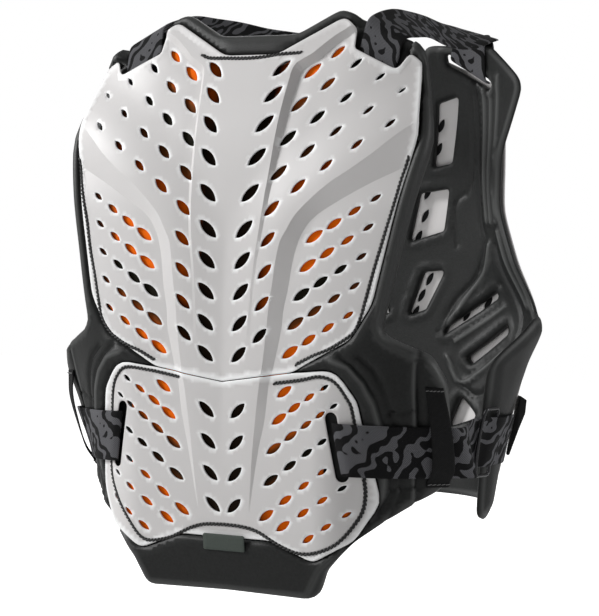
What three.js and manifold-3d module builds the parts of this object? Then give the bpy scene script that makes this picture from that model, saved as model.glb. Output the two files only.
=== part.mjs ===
import * as THREE from 'three';
import { mergeVertices } from 'three/addons/utils/BufferGeometryUtils.js';
import Module from 'manifold-3d';

// A chest and back protector for riding: two perforated white back shells on a black foam back pad, a foam chest pad
// with a white front shell, and webbing straps over the shoulders and round the sides.
// Millimetres, +Z up. The wearer's back is towards -Y, the chest towards +Y, and the right of the back view is +X.
// The origin lies midway between the panels, under the crown of the shoulder straps.

const wasm = await Module();
wasm.setup();

// Back panel: the flat blank that its pieces are cut from, and how that blank is bent
const backHalf = 200;        // half the blank's width
const backHeight = 500;      // from the tail's lower edge to the top of the neck peaks
const backReach = 128;       // from the origin's axis to the shell's face at the waist
const backFlat = 85;         // half width that stays flat before the sides wrap
const backWrap = 120;        // how far the blank's lower corners come forward
const topLean = 56;          // how far the top leans forward
const backFoam = 13;         // foam behind the liner
const rimRise = 1.5;         // foam rim over the shell's face
const shellWall = 2.6;
const linerWall = 3.4;

// Chest panel: its blank is measured round the body
const chestHalf = 320;
const chestHeight = 440;
const chestDrop = 53;        // how much higher its lower edge sits than the tail's
const chestReach = 190;      // from the origin's axis to the pad's inner face
const chestFlat = 78;
const chestBend = 100;       // radius of the bend round the ribs
const chestTurn = Math.PI / 2;
const chestFoam = 9;
const ribRise = 2.5;

// Straps and fittings
const shoulderHeight = 258;  // from the middle of the back to the shoulder line
const strapWall = 2;
const sideStrapWidth = 44;
const sideStrapLevel = -114; // middle of the side straps, from the middle of the back
const keeperWidth = 13;
const keeperWall = 1.4;
const keeperStand = 8;       // how far a keeper stands off its wing
const ringWidth = 27;
const ringHeight = 60;
const ringWire = 3;
const hookDepth = 9;
const hookWidth = 14;
const tagWidth = 41;
const tagHeight = 14;
const tagWall = 1;
const tagTop = 0.104;        // its upper edge, as a share of the back's height

// Fits
const gap = 0.4;             // between pieces that lie on each other
const pocketGap = 1.2;       // between a shell's edge and the foam rim
const arcStep = 0.65;        // radians per segment of a rounded corner
const latticeAcross = 30;    // cells that the blanks are bent in
const latticeUp = 50;
const hair = 0.002;

const tail = -0.486 * backHeight;              // lower edge of the back, from the middle of the back
const chestFoot = tail + chestDrop;
const linerFace = shellWall + gap;
const padFace = linerFace + linerWall + gap;
const padBack = padFace + backFoam;

// Bends, as shares of the sizes above. at: height on the panel
const backBend = [
  { at: 0.00, lean: 0.29, wrap: 0.93 },
  { at: 0.10, lean: 0.16, wrap: 0.99 },
  { at: 0.20, lean: 0.08, wrap: 0.98 },
  { at: 0.30, lean: 0.04, wrap: 0.69 },
  { at: 0.38, lean: 0.01, wrap: 0.44 },
  { at: 0.48, lean: 0.00, wrap: 0.24 },
  { at: 0.58, lean: 0.03, wrap: 0.19 },
  { at: 0.68, lean: 0.11, wrap: 0.14 },
  { at: 0.78, lean: 0.29, wrap: 0.16 },
  { at: 0.88, lean: 0.60, wrap: 0.25 },
  { at: 1.00, lean: 1.00, wrap: 0.28 },
];
const chestSections = [
  { at: 0.00, reach: 0.925, flat: 0.61, bend: 0.82 },
  { at: 0.08, reach: 0.940, flat: 0.64, bend: 0.85 },
  { at: 0.20, reach: 0.963, flat: 0.68, bend: 0.92 },
  { at: 0.32, reach: 0.984, flat: 0.81, bend: 0.99 },
  { at: 0.43, reach: 1.000, flat: 1.00, bend: 1.00 },
  { at: 0.54, reach: 1.005, flat: 0.79, bend: 0.89 },
  { at: 0.66, reach: 0.995, flat: 0.71, bend: 0.85 },
  { at: 0.75, reach: 0.968, flat: 0.73, bend: 0.97 },
  { at: 0.84, reach: 0.916, flat: 0.78, bend: 1.24 },
  { at: 0.92, reach: 0.842, flat: 0.82, bend: 1.59 },
  { at: 1.00, reach: 0.768, flat: 0.82, bend: 1.77 },
];

// Outlines of the right half, from the top middle round to the bottom middle, as shares of the blank's half width and
// height, with each corner's rounding as a share of the height
const upperShellRim = [
  { x: 0.000, z: 0.916, r: 0.00 },
  { x: 0.130, z: 0.916, r: 0.05 },
  { x: 0.420, z: 0.982, r: 0.03 },
  { x: 0.478, z: 0.962, r: 0.01 },
  { x: 0.485, z: 0.928, r: 0.01 },
  { x: 0.690, z: 0.889, r: 0.012 },
  { x: 0.730, z: 0.920, r: 0.012 },
  { x: 0.785, z: 0.903, r: 0.02 },
  { x: 0.845, z: 0.776, r: 0.08 },
  { x: 0.695, z: 0.500, r: 0.08 },
  { x: 0.600, z: 0.440, r: 0.04 },
  { x: 0.340, z: 0.384, r: 0.06 },
  { x: 0.000, z: 0.363, r: 0.00 },
];
const lowerShellRim = [
  { x: 0.000, z: 0.361, r: 0.00 },
  { x: 0.340, z: 0.382, r: 0.06 },
  { x: 0.540, z: 0.390, r: 0.04 },
  { x: 0.625, z: 0.340, r: 0.05 },
  { x: 0.692, z: 0.170, r: 0.05 },
  { x: 0.600, z: 0.106, r: 0.04 },
  { x: 0.430, z: 0.066, r: 0.03 },
  { x: 0.220, z: 0.098, r: 0.04 },
  { x: 0.000, z: 0.097, r: 0.00 },
];
const linerRim = [
  { x: 0.000, z: 0.900, r: 0.00 },
  { x: 0.130, z: 0.900, r: 0.04 },
  { x: 0.380, z: 0.955, r: 0.02 },
  { x: 0.440, z: 0.890, r: 0.02 },
  { x: 0.740, z: 0.840, r: 0.03 },
  { x: 0.770, z: 0.760, r: 0.05 },
  { x: 0.620, z: 0.480, r: 0.04 },
  { x: 0.300, z: 0.400, r: 0.01 },
  { x: 0.300, z: 0.368, r: 0.01 },
  { x: 0.480, z: 0.370, r: 0.02 },
  { x: 0.480, z: 0.190, r: 0.02 },
  { x: 0.620, z: 0.160, r: 0.02 },
  { x: 0.430, z: 0.092, r: 0.02 },
  { x: 0.000, z: 0.112, r: 0.00 },
];
const backPadRim = [
  { x: 0.000, z: 0.959, r: 0.00 },
  { x: 0.190, z: 0.959, r: 0.06 },
  { x: 0.380, z: 1.000, r: 0.04 },
  { x: 0.780, z: 0.940, r: 0.06 },
  { x: 0.900, z: 0.780, r: 0.14 },
  { x: 0.725, z: 0.450, r: 0.02 },
  { x: 0.920, z: 0.412, r: 0.02 },
  { x: 0.955, z: 0.370, r: 0.03 },
  { x: 0.895, z: 0.200, r: 0.05 },
  { x: 0.600, z: 0.100, r: 0.04 },
  { x: 0.475, z: 0.050, r: 0.02 },
  { x: 0.410, z: 0.000, r: 0.03 },
  { x: 0.000, z: 0.004, r: 0.00 },
];
const chestPadRim = [
  { x: 0.000, z: 0.765, r: 0.00 },
  { x: 0.090, z: 0.790, r: 0.06 },
  { x: 0.122, z: 0.990, r: 0.04 },
  { x: 0.350, z: 0.985, r: 0.03 },
  { x: 0.469, z: 0.905, r: 0.04 },
  { x: 0.366, z: 0.765, r: 0.10 },
  { x: 0.369, z: 0.640, r: 0.10 },
  { x: 0.538, z: 0.425, r: 0.04 },
  { x: 0.695, z: 0.425, r: 0.06 },
  { x: 0.829, z: 0.331, r: 0.04 },
  { x: 0.635, z: 0.160, r: 0.08 },
  { x: 0.545, z: 0.012, r: 0.03 },
  { x: 0.469, z: 0.002, r: 0.03 },
  { x: 0.370, z: 0.036, r: 0.04 },
  { x: 0.000, z: 0.041, r: 0.00 },
];
const chestShellRim = [
  { x: 0.000, z: 0.740, r: 0.00 },
  { x: 0.120, z: 0.770, r: 0.05 },
  { x: 0.175, z: 0.972, r: 0.01 },
  { x: 0.350, z: 0.900, r: 0.02 },
  { x: 0.345, z: 0.640, r: 0.10 },
  { x: 0.490, z: 0.405, r: 0.06 },
  { x: 0.470, z: 0.250, r: 0.08 },
  { x: 0.400, z: 0.080, r: 0.04 },
  { x: 0.000, z: 0.080, r: 0.00 },
];

// Raised Y bands and the raised middle along the spine, on the shells' faces
const bandRise = 1.6;
const upperBand = [
  { x: 0.830, z: 0.790, r: 0.02 },
  { x: 0.480, z: 0.695, r: 0.06 },
  { x: 0.280, z: 0.600, r: 0.06 },
  { x: 0.200, z: 0.385, r: 0.00 },
  { x: 0.240, z: 0.385, r: 0.00 },
  { x: 0.330, z: 0.570, r: 0.06 },
  { x: 0.500, z: 0.665, r: 0.06 },
  { x: 0.780, z: 0.725, r: 0.02 },
];
const lowerBand = [
  { x: 0.190, z: 0.355, r: 0.00 },
  { x: 0.125, z: 0.142, r: 0.00 },
  { x: 0.225, z: 0.358, r: 0.00 },
];
const spineRise = 5;
const spineSlope = 6;        // width of the slope beside the raised middle
const spineFace = [
  { x: 0.300, z: 0.960, h: 0.9 },
  { x: 0.240, z: 0.910, h: 1.0 },
  { x: 0.222, z: 0.850, h: 1.0 },
  { x: 0.200, z: 0.760, h: 0.7 },
  { x: 0.175, z: 0.650, h: 0.35 },
  { x: 0.150, z: 0.560, h: 0.1 },
];

// Runs of eye-shaped holes on the right half. from, to: first and last hole; bow: how far the middle of the run
// stands off the straight; long: length of the first and last hole; tilt: degrees from the level
const upperHoles = [
  { count: 5, from: [33, 203], to: [21, 97.5], bow: [0, 5.3], long: [19.5, 21.5], tilt: 42 },
  { count: 5, from: [18, 67], to: [16.5, -38.5], bow: [0, 0], long: [21.5, 19.5], tilt: 42 },
  { count: 5, from: [60.5, 202.5], to: [43.8, 84.6], bow: [-2.5, 1], long: [18.5, 18.5], tilt: 42 },
  { count: 4, from: [42.5, 58.6], to: [37.5, -22], bow: [0, 0], long: [18, 18], tilt: 42 },
  { count: 5, from: [81.5, 218.4], to: [68, 103], bow: [0, 1.5], long: [15, 17], tilt: 42 },
  { count: 4, from: [101, 208], to: [92.7, 120.4], bow: [0, 0], long: [12, 13.5], tilt: 42 },
  { count: 3, from: [125, 196.4], to: [118, 137.7], bow: [0, 0], long: [9, 12], tilt: 42 },
  { count: 2, from: [146.5, 183.6], to: [143.7, 154.7], bow: [0, 0], long: [7, 10], tilt: 42 },
];
const wingRows = { count: 5, first: [138, 94.5], inner: [84.5, 62], fall: [-4.85, -24.2], long: [10.5, 18.5], tilt: 34 };
const lowerHoles = [
  { count: 4, from: [15.5, -86], to: [10.5, -167], bow: [0, 0], long: [19, 18], tilt: 42 },
  { count: 1, from: [60, -68], to: [60, -68], bow: [0, 0], long: [17, 17], tilt: 34 },
  { count: 4, from: [98, -63], to: [55, -91], bow: [0.5, 1], long: [9, 17], tilt: 34 },
  { count: 5, from: [106, -78], to: [50, -116], bow: [3, 2.5], long: [8, 17], tilt: 34 },
  { count: 4, from: [96, -108], to: [47, -143], bow: [2.5, 2], long: [10, 17], tilt: 34 },
  { count: 4, from: [96, -133], to: [42, -173], bow: [1, 1], long: [10, 17], tilt: 34 },
  { count: 4, from: [112, -146], to: [58, -181], bow: [2, 1], long: [8.5, 16], tilt: 34 },
  { count: 3, from: [115, -168], to: [82, -190], bow: [0, 0], long: [8.5, 13], tilt: 34 },
];
const holeSlender = 0.4;     // width of a hole as a share of its length
const smallestCut = 11;      // shorter holes are too small to cut here

// Windows of the chest pad, corners as shares of the chest blank
const chestWindows = [
  [[0.110, 0.735], [0.172, 0.745], [0.215, 0.885], [0.145, 0.870]],
  [[0.025, 0.575], [0.140, 0.600], [0.160, 0.690], [0.060, 0.680]],
  [[0.028, 0.415], [0.088, 0.430], [0.148, 0.515], [0.075, 0.510]],
  [[0.150, 0.375], [0.165, 0.395], [0.325, 0.475], [0.335, 0.460]],
  [[0.232, 0.330], [0.250, 0.315], [0.385, 0.385], [0.375, 0.405]],
  [[0.180, 0.180], [0.290, 0.205], [0.220, 0.248]],
];
const chestSlot = [[0.195, 0.975], [0.345, 0.910], [0.335, 0.893], [0.195, 0.950]];
// Where the webbing loop passes the slot and the pad's top edge, from the inner to the outer edge of the webbing
const strapLoop = [
  { slot: [0.2125, 0.959], top: [0.231, 0.994] },
  { slot: [0.269, 0.934], top: [0.281, 0.993] },
  { slot: [0.325, 0.909], top: [0.341, 0.990] },
];
const chestRibs = [
  { x: 0.300, low: 0.62, high: 0.88 },
  { x: 0.335, low: 0.62, high: 0.89 },
];
const ribWidth = 7;

// Slots of the back shell for the side straps: middle of each end, from the middle of the back
const sideSlot = { top: [103, -84], foot: [113, -140], width: 10 };

// Route of a shoulder strap, free of the panels. at: share of the way from the back's top to the chest's top;
// inner, outer: how far its edges stand over the line between the two tops
const shoulderRoute = [
  { at: 0.00, inner: 1.0, outer: -14.0 },
  { at: 0.15, inner: 9.0, outer: 2.0 },
  { at: 0.33, inner: 13.3, outer: 9.3 },
  { at: 0.51, inner: 14.6, outer: 9.6 },
  { at: 0.72, inner: 13.0, outer: 4.0 },
  { at: 0.90, inner: 11.3, outer: -1.7 },
  { at: 1.00, inner: 9.0, outer: -4.0 },
];
const strapLean = 3;         // how much further out than the notch the strap crosses the back's top

const paint = (hex, roughness, metalness = 0) => new THREE.MeshStandardMaterial({ color: hex, roughness, metalness });
const whiteShell = paint(0xdcdbd8, 0.38);
const orangeLiner = paint(0xe2600f, 0.6);
const blackFoam = paint(0x2d2f2e, 0.85);
const blackWebbing = paint(0x121214, 0.8);
const greyWebbing = paint(0x242427, 0.75);
const blackWire = paint(0x0d0d0e, 0.35, 0.4);
const blackPlastic = paint(0x0c0c0d, 0.5);
const labelCloth = paint(0x3a3d3a, 0.8);

// A smooth curve through one column of a table
function column(rows, name) {
  const slope = rows.map((row, i) => {
    const before = rows[Math.max(0, i - 1)];
    const after = rows[Math.min(rows.length - 1, i + 1)];
    return (after[name] - before[name]) / (after.at - before.at);
  });
  return (at) => {
    const t = THREE.MathUtils.clamp(at, rows[0].at, rows[rows.length - 1].at);
    const i = Math.max(0, rows.findIndex((row, k) => k > 0 && t <= row.at) - 1);
    const span = rows[i + 1].at - rows[i].at;
    const u = (t - rows[i].at) / span;
    const rest = 1 - u;
    return rows[i][name] * (1 + 2 * u) * rest * rest + slope[i] * span * u * rest * rest
      + rows[i + 1][name] * (3 - 2 * u) * u * u - slope[i + 1] * span * u * u * rest;
  };
}

const lean = column(backBend, 'lean');
const wrap = column(backBend, 'wrap');
const reach = column(chestSections, 'reach');
const flat = column(chestSections, 'flat');
const bend = column(chestSections, 'bend');

const backFaceY = (x, z) => {
  const at = (z - tail) / backHeight;
  const side = Math.max(0, Math.abs(x) - backFlat) / (backHalf - backFlat);
  return -backReach + topLean * lean(at) + backWrap * wrap(at) * side * side;
};

// Places a point of the back blank: x across, z up, w behind the shell's face
function onBack(x, w, z) {
  const step = 0.5;
  const across = (backFaceY(x + step, z) - backFaceY(x - step, z)) / (2 * step);
  const up = (backFaceY(x, z + step) - backFaceY(x, z - step)) / (2 * step);
  const inward = new THREE.Vector3(-across, 1, -up).normalize();
  return new THREE.Vector3(x, backFaceY(x, z), z).addScaledVector(inward, w);
}

// Places a point of the chest blank: s round the body from the middle, z up, w outside the pad's inner face
function onChest(s, w, z) {
  const at = (z - chestFoot) / chestHeight;
  const half = chestFlat * flat(at);
  const radius = chestBend * bend(at);
  const round = Math.max(0, Math.abs(s) - half);
  const turn = Math.min(round / radius, chestTurn);
  const past = round - turn * radius;
  const x = Math.min(Math.abs(s), half) + radius * Math.sin(turn) + past * Math.cos(turn) + w * Math.sin(turn);
  const y = chestReach * reach(at) - radius * (1 - Math.cos(turn)) - past * Math.sin(turn) + w * Math.cos(turn);
  return new THREE.Vector3(Math.sign(s) * x, y, z);
}

// The same place read off the flat triangles of a lattice, so that pieces bent together keep the gaps between them
function onLattice(place) {
  return (x, w, z) => {
    const column = Math.floor(x / latticeAcross);
    const row = Math.floor(z / latticeUp);
    const left = column < 0;
    const node = (i, j) => place((column + (left ? 1 - i : i)) * latticeAcross, w, (row + j) * latticeUp);
    const share = x / latticeAcross - column;
    const u = left ? 1 - share : share;
    const v = z / latticeUp - row;
    const corner = node(u >= v ? 1 : 0, u >= v ? 0 : 1);
    const weights = u >= v ? [1 - u, u - v, v] : [1 - v, v - u, u];
    const point = node(0, 0).multiplyScalar(weights[0]).addScaledVector(corner, weights[1]);
    return point.addScaledVector(node(1, 1), weights[2]);
  };
}

const backPlace = onLattice(onBack);
const chestPlace = onLattice(onChest);

const backPlan = (row) => new THREE.Vector2(row.x * backHalf, tail + row.z * backHeight);
const chestPlan = (row) => new THREE.Vector2(row.x * chestHalf, chestFoot + row.z * chestHeight);

// Rounds a table's corners with arcs
function roundCorners(rows, plan, height, closed) {
  const corners = rows.map(plan);
  const points = [];
  corners.forEach((corner, i) => {
    const radius = rows[i].r * height;
    const open = !closed && (i === 0 || i === corners.length - 1);
    if (open || radius === 0) {
      points.push(corner);
      return;
    }
    const before = corners[(i + corners.length - 1) % corners.length].clone().sub(corner);
    const after = corners[(i + 1) % corners.length].clone().sub(corner);
    const angle = Math.acos(before.dot(after) / (before.length() * after.length()));
    const reachBack = Math.min(radius / Math.tan(angle / 2), 0.48 * before.length(), 0.48 * after.length());
    const start = corner.clone().addScaledVector(before.normalize(), reachBack);
    const end = corner.clone().addScaledVector(after.normalize(), reachBack);
    const curve = new THREE.QuadraticBezierCurve(start, corner, end);
    points.push(...curve.getPoints(Math.max(1, Math.round((Math.PI - angle) / arcStep))));
  });
  return points;
}

// Whole outline from its right half, without its middle points twice
function bothHalves(half) {
  const left = half.slice(1, -1).reverse().map((p) => new THREE.Vector2(-p.x, p.y));
  return [...half, ...left];
}

const backOutline = (rows) => bothHalves(roundCorners(rows, backPlan, backHeight, false));
const chestOutline = (rows) => bothHalves(roundCorners(rows, chestPlan, chestHeight, false));

// Moves each point of an outline outwards
function grown(points, by) {
  const sense = THREE.ShapeUtils.isClockWise(points) ? -1 : 1;
  return points.map((p, i) => {
    const a = points[(i + points.length - 1) % points.length];
    const b = points[(i + 1) % points.length];
    const along = b.clone().sub(a).normalize();
    return new THREE.Vector2(p.x + sense * along.y * by, p.y - sense * along.x * by);
  });
}

const mirrored = (points) => points.map((p) => new THREE.Vector2(-p.x, p.y));

function solidOf(geometry) {
  geometry.deleteAttribute('normal');
  geometry.deleteAttribute('uv');
  const merged = mergeVertices(geometry, 1e-4);
  const vertProperties = new Float32Array(merged.attributes.position.array);
  const triVerts = new Uint32Array(merged.index.array);
  return new wasm.Manifold(new wasm.Mesh({ numProp: 3, vertProperties, triVerts }));
}

// A flat plate of an outline, from depth near to depth far
function plate(points, near, far) {
  const geometry = new THREE.ExtrudeGeometry(new THREE.Shape(points), { depth: far - near, bevelEnabled: false });
  geometry.rotateX(Math.PI / 2);
  geometry.translate(0, far, 0);
  return solidOf(geometry);
}

// A block with the lattice on both faces. They bulge by a hair, which keeps the lattice's lines when the block is cut
function latticeBlock(left, right, low, high, near, far) {
  const columns = right - left + 1;
  const rows = high - low + 1;
  const layer = columns * rows;
  const positions = [];
  for (const w of [near, far]) {
    for (let j = low; j <= high; j += 1) {
      for (let i = left; i <= right; i += 1) {
        const bulge = hair * (i * i + j * j - Math.abs(i) * j / 2);
        positions.push(i * latticeAcross, w + bulge, j * latticeUp);
      }
    }
  }
  const at = (i, j) => (j - low) * columns + (i - left);
  const index = [];
  for (let j = low; j < high; j += 1) {
    for (let i = left; i < right; i += 1) {
      const [a, b, c, d] = [at(i, j), at(i + 1, j), at(i + 1, j + 1), at(i, j + 1)];
      const triangles = i < 0 ? [[a, b, d], [b, c, d]] : [[a, b, c], [a, c, d]];
      for (const [p, q, r] of triangles) {
        index.push(p, q, r, p + layer, r + layer, q + layer);
      }
    }
  }
  const wall = (a, b) => index.push(a, b + layer, b, a, a + layer, b + layer);
  for (let i = left; i < right; i += 1) {
    wall(at(i, low), at(i + 1, low));
    wall(at(i + 1, high), at(i, high));
  }
  for (let j = low; j < high; j += 1) {
    wall(at(left, j + 1), at(left, j));
    wall(at(right, j), at(right, j + 1));
  }
  const geometry = new THREE.BufferGeometry();
  geometry.setAttribute('position', new THREE.Float32BufferAttribute(positions, 3));
  geometry.setIndex(index);
  return solidOf(geometry);
}

// A sheet cut to an outline from a lattice block
function cutSheet(points, near, far) {
  const area = new THREE.Box2().setFromPoints(points);
  const left = Math.floor(area.min.x / latticeAcross);
  const right = Math.ceil(area.max.x / latticeAcross);
  const low = Math.floor(area.min.y / latticeUp);
  const high = Math.ceil(area.max.y / latticeUp);
  return latticeBlock(left, right, low, high, near, far).intersect(plate(points, near - 1, far + 1));
}

// Turns a flat solid into a mesh in its bent place
function bentMesh(name, solid, place, material) {
  const { vertProperties, triVerts } = solid.getMesh();
  const positions = new Float32Array(vertProperties.length);
  for (let i = 0; i < vertProperties.length; i += 3) {
    place(vertProperties[i], vertProperties[i + 1], vertProperties[i + 2]).toArray(positions, i);
  }
  const geometry = new THREE.BufferGeometry();
  geometry.setAttribute('position', new THREE.BufferAttribute(positions, 3));
  geometry.setIndex(new THREE.BufferAttribute(new Uint32Array(triVerts), 1));
  geometry.computeVertexNormals();
  const mesh = new THREE.Mesh(geometry, material);
  mesh.name = name;
  return mesh;
}

function runOfHoles(run) {
  const holes = [];
  for (let i = 0; i < run.count; i += 1) {
    const t = run.count > 1 ? i / (run.count - 1) : 0;
    const bulge = 4 * t * (1 - t);
    holes.push({
      x: THREE.MathUtils.lerp(run.from[0], run.to[0], t) + bulge * run.bow[0],
      z: THREE.MathUtils.lerp(run.from[1], run.to[1], t) + bulge * run.bow[1],
      long: THREE.MathUtils.lerp(run.long[0], run.long[1], t),
      tilt: run.tilt,
    });
  }
  return holes;
}

function wingHoles() {
  const holes = [];
  for (let i = 0; i < wingRows.count; i += 1) {
    const shift = (point) => [point[0] + i * wingRows.fall[0], point[1] + i * wingRows.fall[1]];
    const row = { ...wingRows, count: 4, from: shift(wingRows.first), to: shift(wingRows.inner), bow: [0, 0] };
    holes.push(...runOfHoles(row));
  }
  return holes;
}

// Four-sided eye, pointed at both ends
function eye(hole, side) {
  const tilt = THREE.MathUtils.degToRad(hole.tilt);
  const long = hole.long / 2;
  const wide = (holeSlender * hole.long) / 2;
  const rim = [[long, 0], [0, wide], [-long, 0], [0, -wide]];
  return rim.map(([a, b]) => new THREE.Vector2(
    side * (hole.x + a * Math.cos(tilt) - b * Math.sin(tilt)),
    hole.z + a * Math.sin(tilt) + b * Math.cos(tilt),
  ));
}

function pierced(solid, holes, near, far) {
  const cutters = holes.filter((hole) => hole.long >= smallestCut)
    .flatMap((hole) => [1, -1].map((side) => plate(eye(hole, side), near, far)));
  return cutters.reduce((rest, cutter) => rest.subtract(cutter), solid);
}

// The raised middle of the upper shell, flat on top with sloping sides, in the flat
function raisedSpine() {
  const points = spineFace.flatMap((row) => {
    const { x, y } = backPlan(row);
    const rise = spineRise * row.h;
    const section = [[-x - spineSlope, 1], [-x, -rise], [x, -rise], [x + spineSlope, 1]];
    return section.map(([across, w]) => new THREE.Vector3(across, w, y));
  });
  return loft(points, 4);
}

// Signed volume inside a closed body, negative where its faces point in
function volumeOf(points, index) {
  let volume = 0;
  for (let i = 0; i < index.length; i += 3) {
    const [a, b, c] = [points[index[i]], points[index[i + 1]], points[index[i + 2]]];
    volume += a.dot(b.clone().cross(c)) / 6;
  }
  return volume;
}

// Closed body through sections of equal point counts
function loftGeometry(points, size) {
  const index = [];
  const sections = points.length / size;
  for (let i = 0; i < sections - 1; i += 1) {
    for (let j = 0; j < size; j += 1) {
      const a = i * size + j;
      const b = i * size + ((j + 1) % size);
      index.push(a, b, a + size, b, b + size, a + size);
    }
  }
  const last = (sections - 1) * size;
  for (let j = 1; j < size - 1; j += 1) {
    index.push(0, j + 1, j, last, last + j, last + j + 1);
  }
  if (volumeOf(points, index) < 0) {
    index.reverse();
  }
  const geometry = new THREE.BufferGeometry();
  geometry.setAttribute('position', new THREE.Float32BufferAttribute(points.flatMap((p) => p.toArray()), 3));
  geometry.setIndex(index);
  return geometry;
}

const loft = (points, size) => solidOf(loftGeometry(points, size));

// A strap from rows of points across it: its section is a thin bar square to its route
function strapMesh(name, rows, wall, side, material) {
  const points = [];
  const across = rows[0].length;
  rows.forEach((row, i) => {
    const before = rows[Math.max(0, i - 1)];
    const after = rows[Math.min(rows.length - 1, i + 1)];
    const along = after[0].clone().add(after[across - 1]).sub(before[0]).sub(before[across - 1]);
    const out = along.cross(row[across - 1].clone().sub(row[0])).normalize().multiplyScalar(wall / 2);
    points.push(...row.map((p) => p.clone().add(out)));
    points.push(...row.map((p) => p.clone().sub(out)).reverse());
  });
  const placed = points.map((p) => new THREE.Vector3(side * p.x, p.y, p.z));
  const geometry = loftGeometry(placed, 2 * across);
  geometry.computeVertexNormals();
  const mesh = new THREE.Mesh(geometry, material);
  mesh.name = name;
  return mesh;
}

// More rows along a strap, on smooth curves through the given ones
function smoothRows(rows, count) {
  const lines = rows[0].map((_, k) => new THREE.CatmullRomCurve3(rows.map((row) => row[k])).getPoints(count));
  return lines[0].map((_, i) => lines.map((line) => line[i]));
}

const sides = [['right', 1], ['left', -1]];

const group = new THREE.Group();
group.position.z = -shoulderHeight;

const upperOutline = backOutline(upperShellRim);
const lowerOutline = backOutline(lowerShellRim);
const padThrough = [-10, padBack + 10];
const chestThrough = [-10, chestFoam + 10];

// A slot with round ends between two points
function capsule(from, to, width) {
  const a = new THREE.Vector2(...from);
  const b = new THREE.Vector2(...to);
  const heading = b.clone().sub(a).angle();
  const points = [];
  for (const [end, start] of [[b, heading - Math.PI / 2], [a, heading + Math.PI / 2]]) {
    for (let i = 0; i <= 4; i += 1) {
      const angle = start + (i * Math.PI) / 4;
      points.push(new THREE.Vector2(end.x + (width / 2) * Math.cos(angle), end.y + (width / 2) * Math.sin(angle)));
    }
  }
  return points;
}

function bandsOn(outline, rows) {
  const half = roundCorners(rows, backPlan, backHeight, true);
  const within = plate(outline, -bandRise - 1, shellWall);
  return [half, mirrored(half)]
    .map((points) => cutSheet(points, -bandRise, shellWall / 2).intersect(within));
}

function buildShells() {
  let upper = cutSheet(upperOutline, 0, shellWall);
  for (const band of bandsOn(upperOutline, upperBand)) {
    upper = upper.add(band);
  }
  upper = upper.add(raisedSpine().intersect(plate(upperOutline, -spineRise - 1, shellWall)));
  const upperRuns = [...upperHoles.flatMap(runOfHoles), ...wingHoles()];
  upper = pierced(upper, upperRuns, -spineRise - 2, shellWall + 1);
  let lower = cutSheet(lowerOutline, 0, shellWall);
  for (const band of bandsOn(lowerOutline, lowerBand)) {
    lower = lower.add(band);
  }
  lower = pierced(lower, lowerHoles.flatMap(runOfHoles), -spineRise, shellWall + 1);
  const slot = capsule(sideSlot.top, sideSlot.foot, sideSlot.width);
  for (const points of [slot, mirrored(slot)]) {
    lower = lower.subtract(plate(points, -spineRise, shellWall + 1));
  }
  group.add(bentMesh('back_shell_upper', upper, backPlace, whiteShell));
  group.add(bentMesh('back_shell_lower', lower, backPlace, whiteShell));
}

function buildBackPad() {
  const outline = backOutline(backPadRim);
  const strapRoom = 5;
  const [inner, outer] = [upperShellRim[4], upperShellRim[5]].map(backPlan);
  const channel = [
    [inner.x - strapRoom, outer.y],
    [inner.x + strapLean - strapRoom, backHeight],
    [outer.x + strapLean + strapRoom + 1, backHeight],
    [outer.x + strapRoom, outer.y],
  ].map(([x, z]) => new THREE.Vector2(x, z));
  const rooms = [grown(upperOutline, pocketGap), grown(lowerOutline, pocketGap), channel, mirrored(channel)];
  let rim = cutSheet(outline, -rimRise, padFace + 1);
  for (const room of rooms) {
    rim = rim.subtract(plate(room, ...padThrough));
  }
  const pad = cutSheet(outline, padFace, padBack).add(rim);
  const liner = cutSheet(backOutline(linerRim), linerFace, linerFace + linerWall);
  group.add(bentMesh('back_pad', pad, backPlace, blackFoam));
  group.add(bentMesh('back_liner', liner, backPlace, orangeLiner));
}

// A rib down the chest pad's inner face beside the arm opening
function chestRib(rib) {
  const z = (share) => chestFoot + share * chestHeight;
  const bow = rib.x * chestHalf - ribWidth;
  const points = [
    [rib.x * chestHalf, z(rib.low)], [rib.x * chestHalf + ribWidth, z(rib.low)],
    [bow + 2 * ribWidth, z((rib.low + rib.high) / 2)],
    [rib.x * chestHalf + 2 * ribWidth, z(rib.high)], [rib.x * chestHalf + ribWidth, z(rib.high)],
    [bow + ribWidth, z((rib.low + rib.high) / 2)],
  ].map(([x, y]) => new THREE.Vector2(x, y));
  return cutSheet(points, -ribRise, chestFoam / 2);
}

function buildChest() {
  const outline = chestOutline(chestPadRim);
  let pad = cutSheet(outline, 0, chestFoam);
  const toPoints = (corners) => corners.map(([x, z]) => chestPlan({ x, z }));
  const cuts = [...chestWindows, chestSlot].map(toPoints);
  const within = plate(outline, ...chestThrough);
  for (const rib of chestRibs) {
    const right = chestRib(rib).intersect(within);
    pad = pad.add(right).add(right.mirror([1, 0, 0]));
  }
  for (const points of cuts) {
    pad = pad.subtract(plate(points, ...chestThrough)).subtract(plate(mirrored(points), ...chestThrough));
  }
  const face = chestFoam + gap;
  const shell = cutSheet(chestOutline(chestShellRim), face, face + shellWall);
  group.add(bentMesh('chest_pad', pad, chestPlace, blackFoam));
  group.add(bentMesh('chest_shell', shell, chestPlace, whiteShell));
}

const ringStart = 0.66 * chestHalf;
const ringEnd = ringStart + ringWidth;
const shellSide = Math.max(...chestShellRim.map((row) => row.x)) * chestHalf;
const hookStart = shellSide - hookWidth - pocketGap - 4 * gap;

const slotAt = (z) => THREE.MathUtils.mapLinear(z, sideSlot.top[1], sideSlot.foot[1], sideSlot.top[0], sideSlot.foot[0]);

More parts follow.
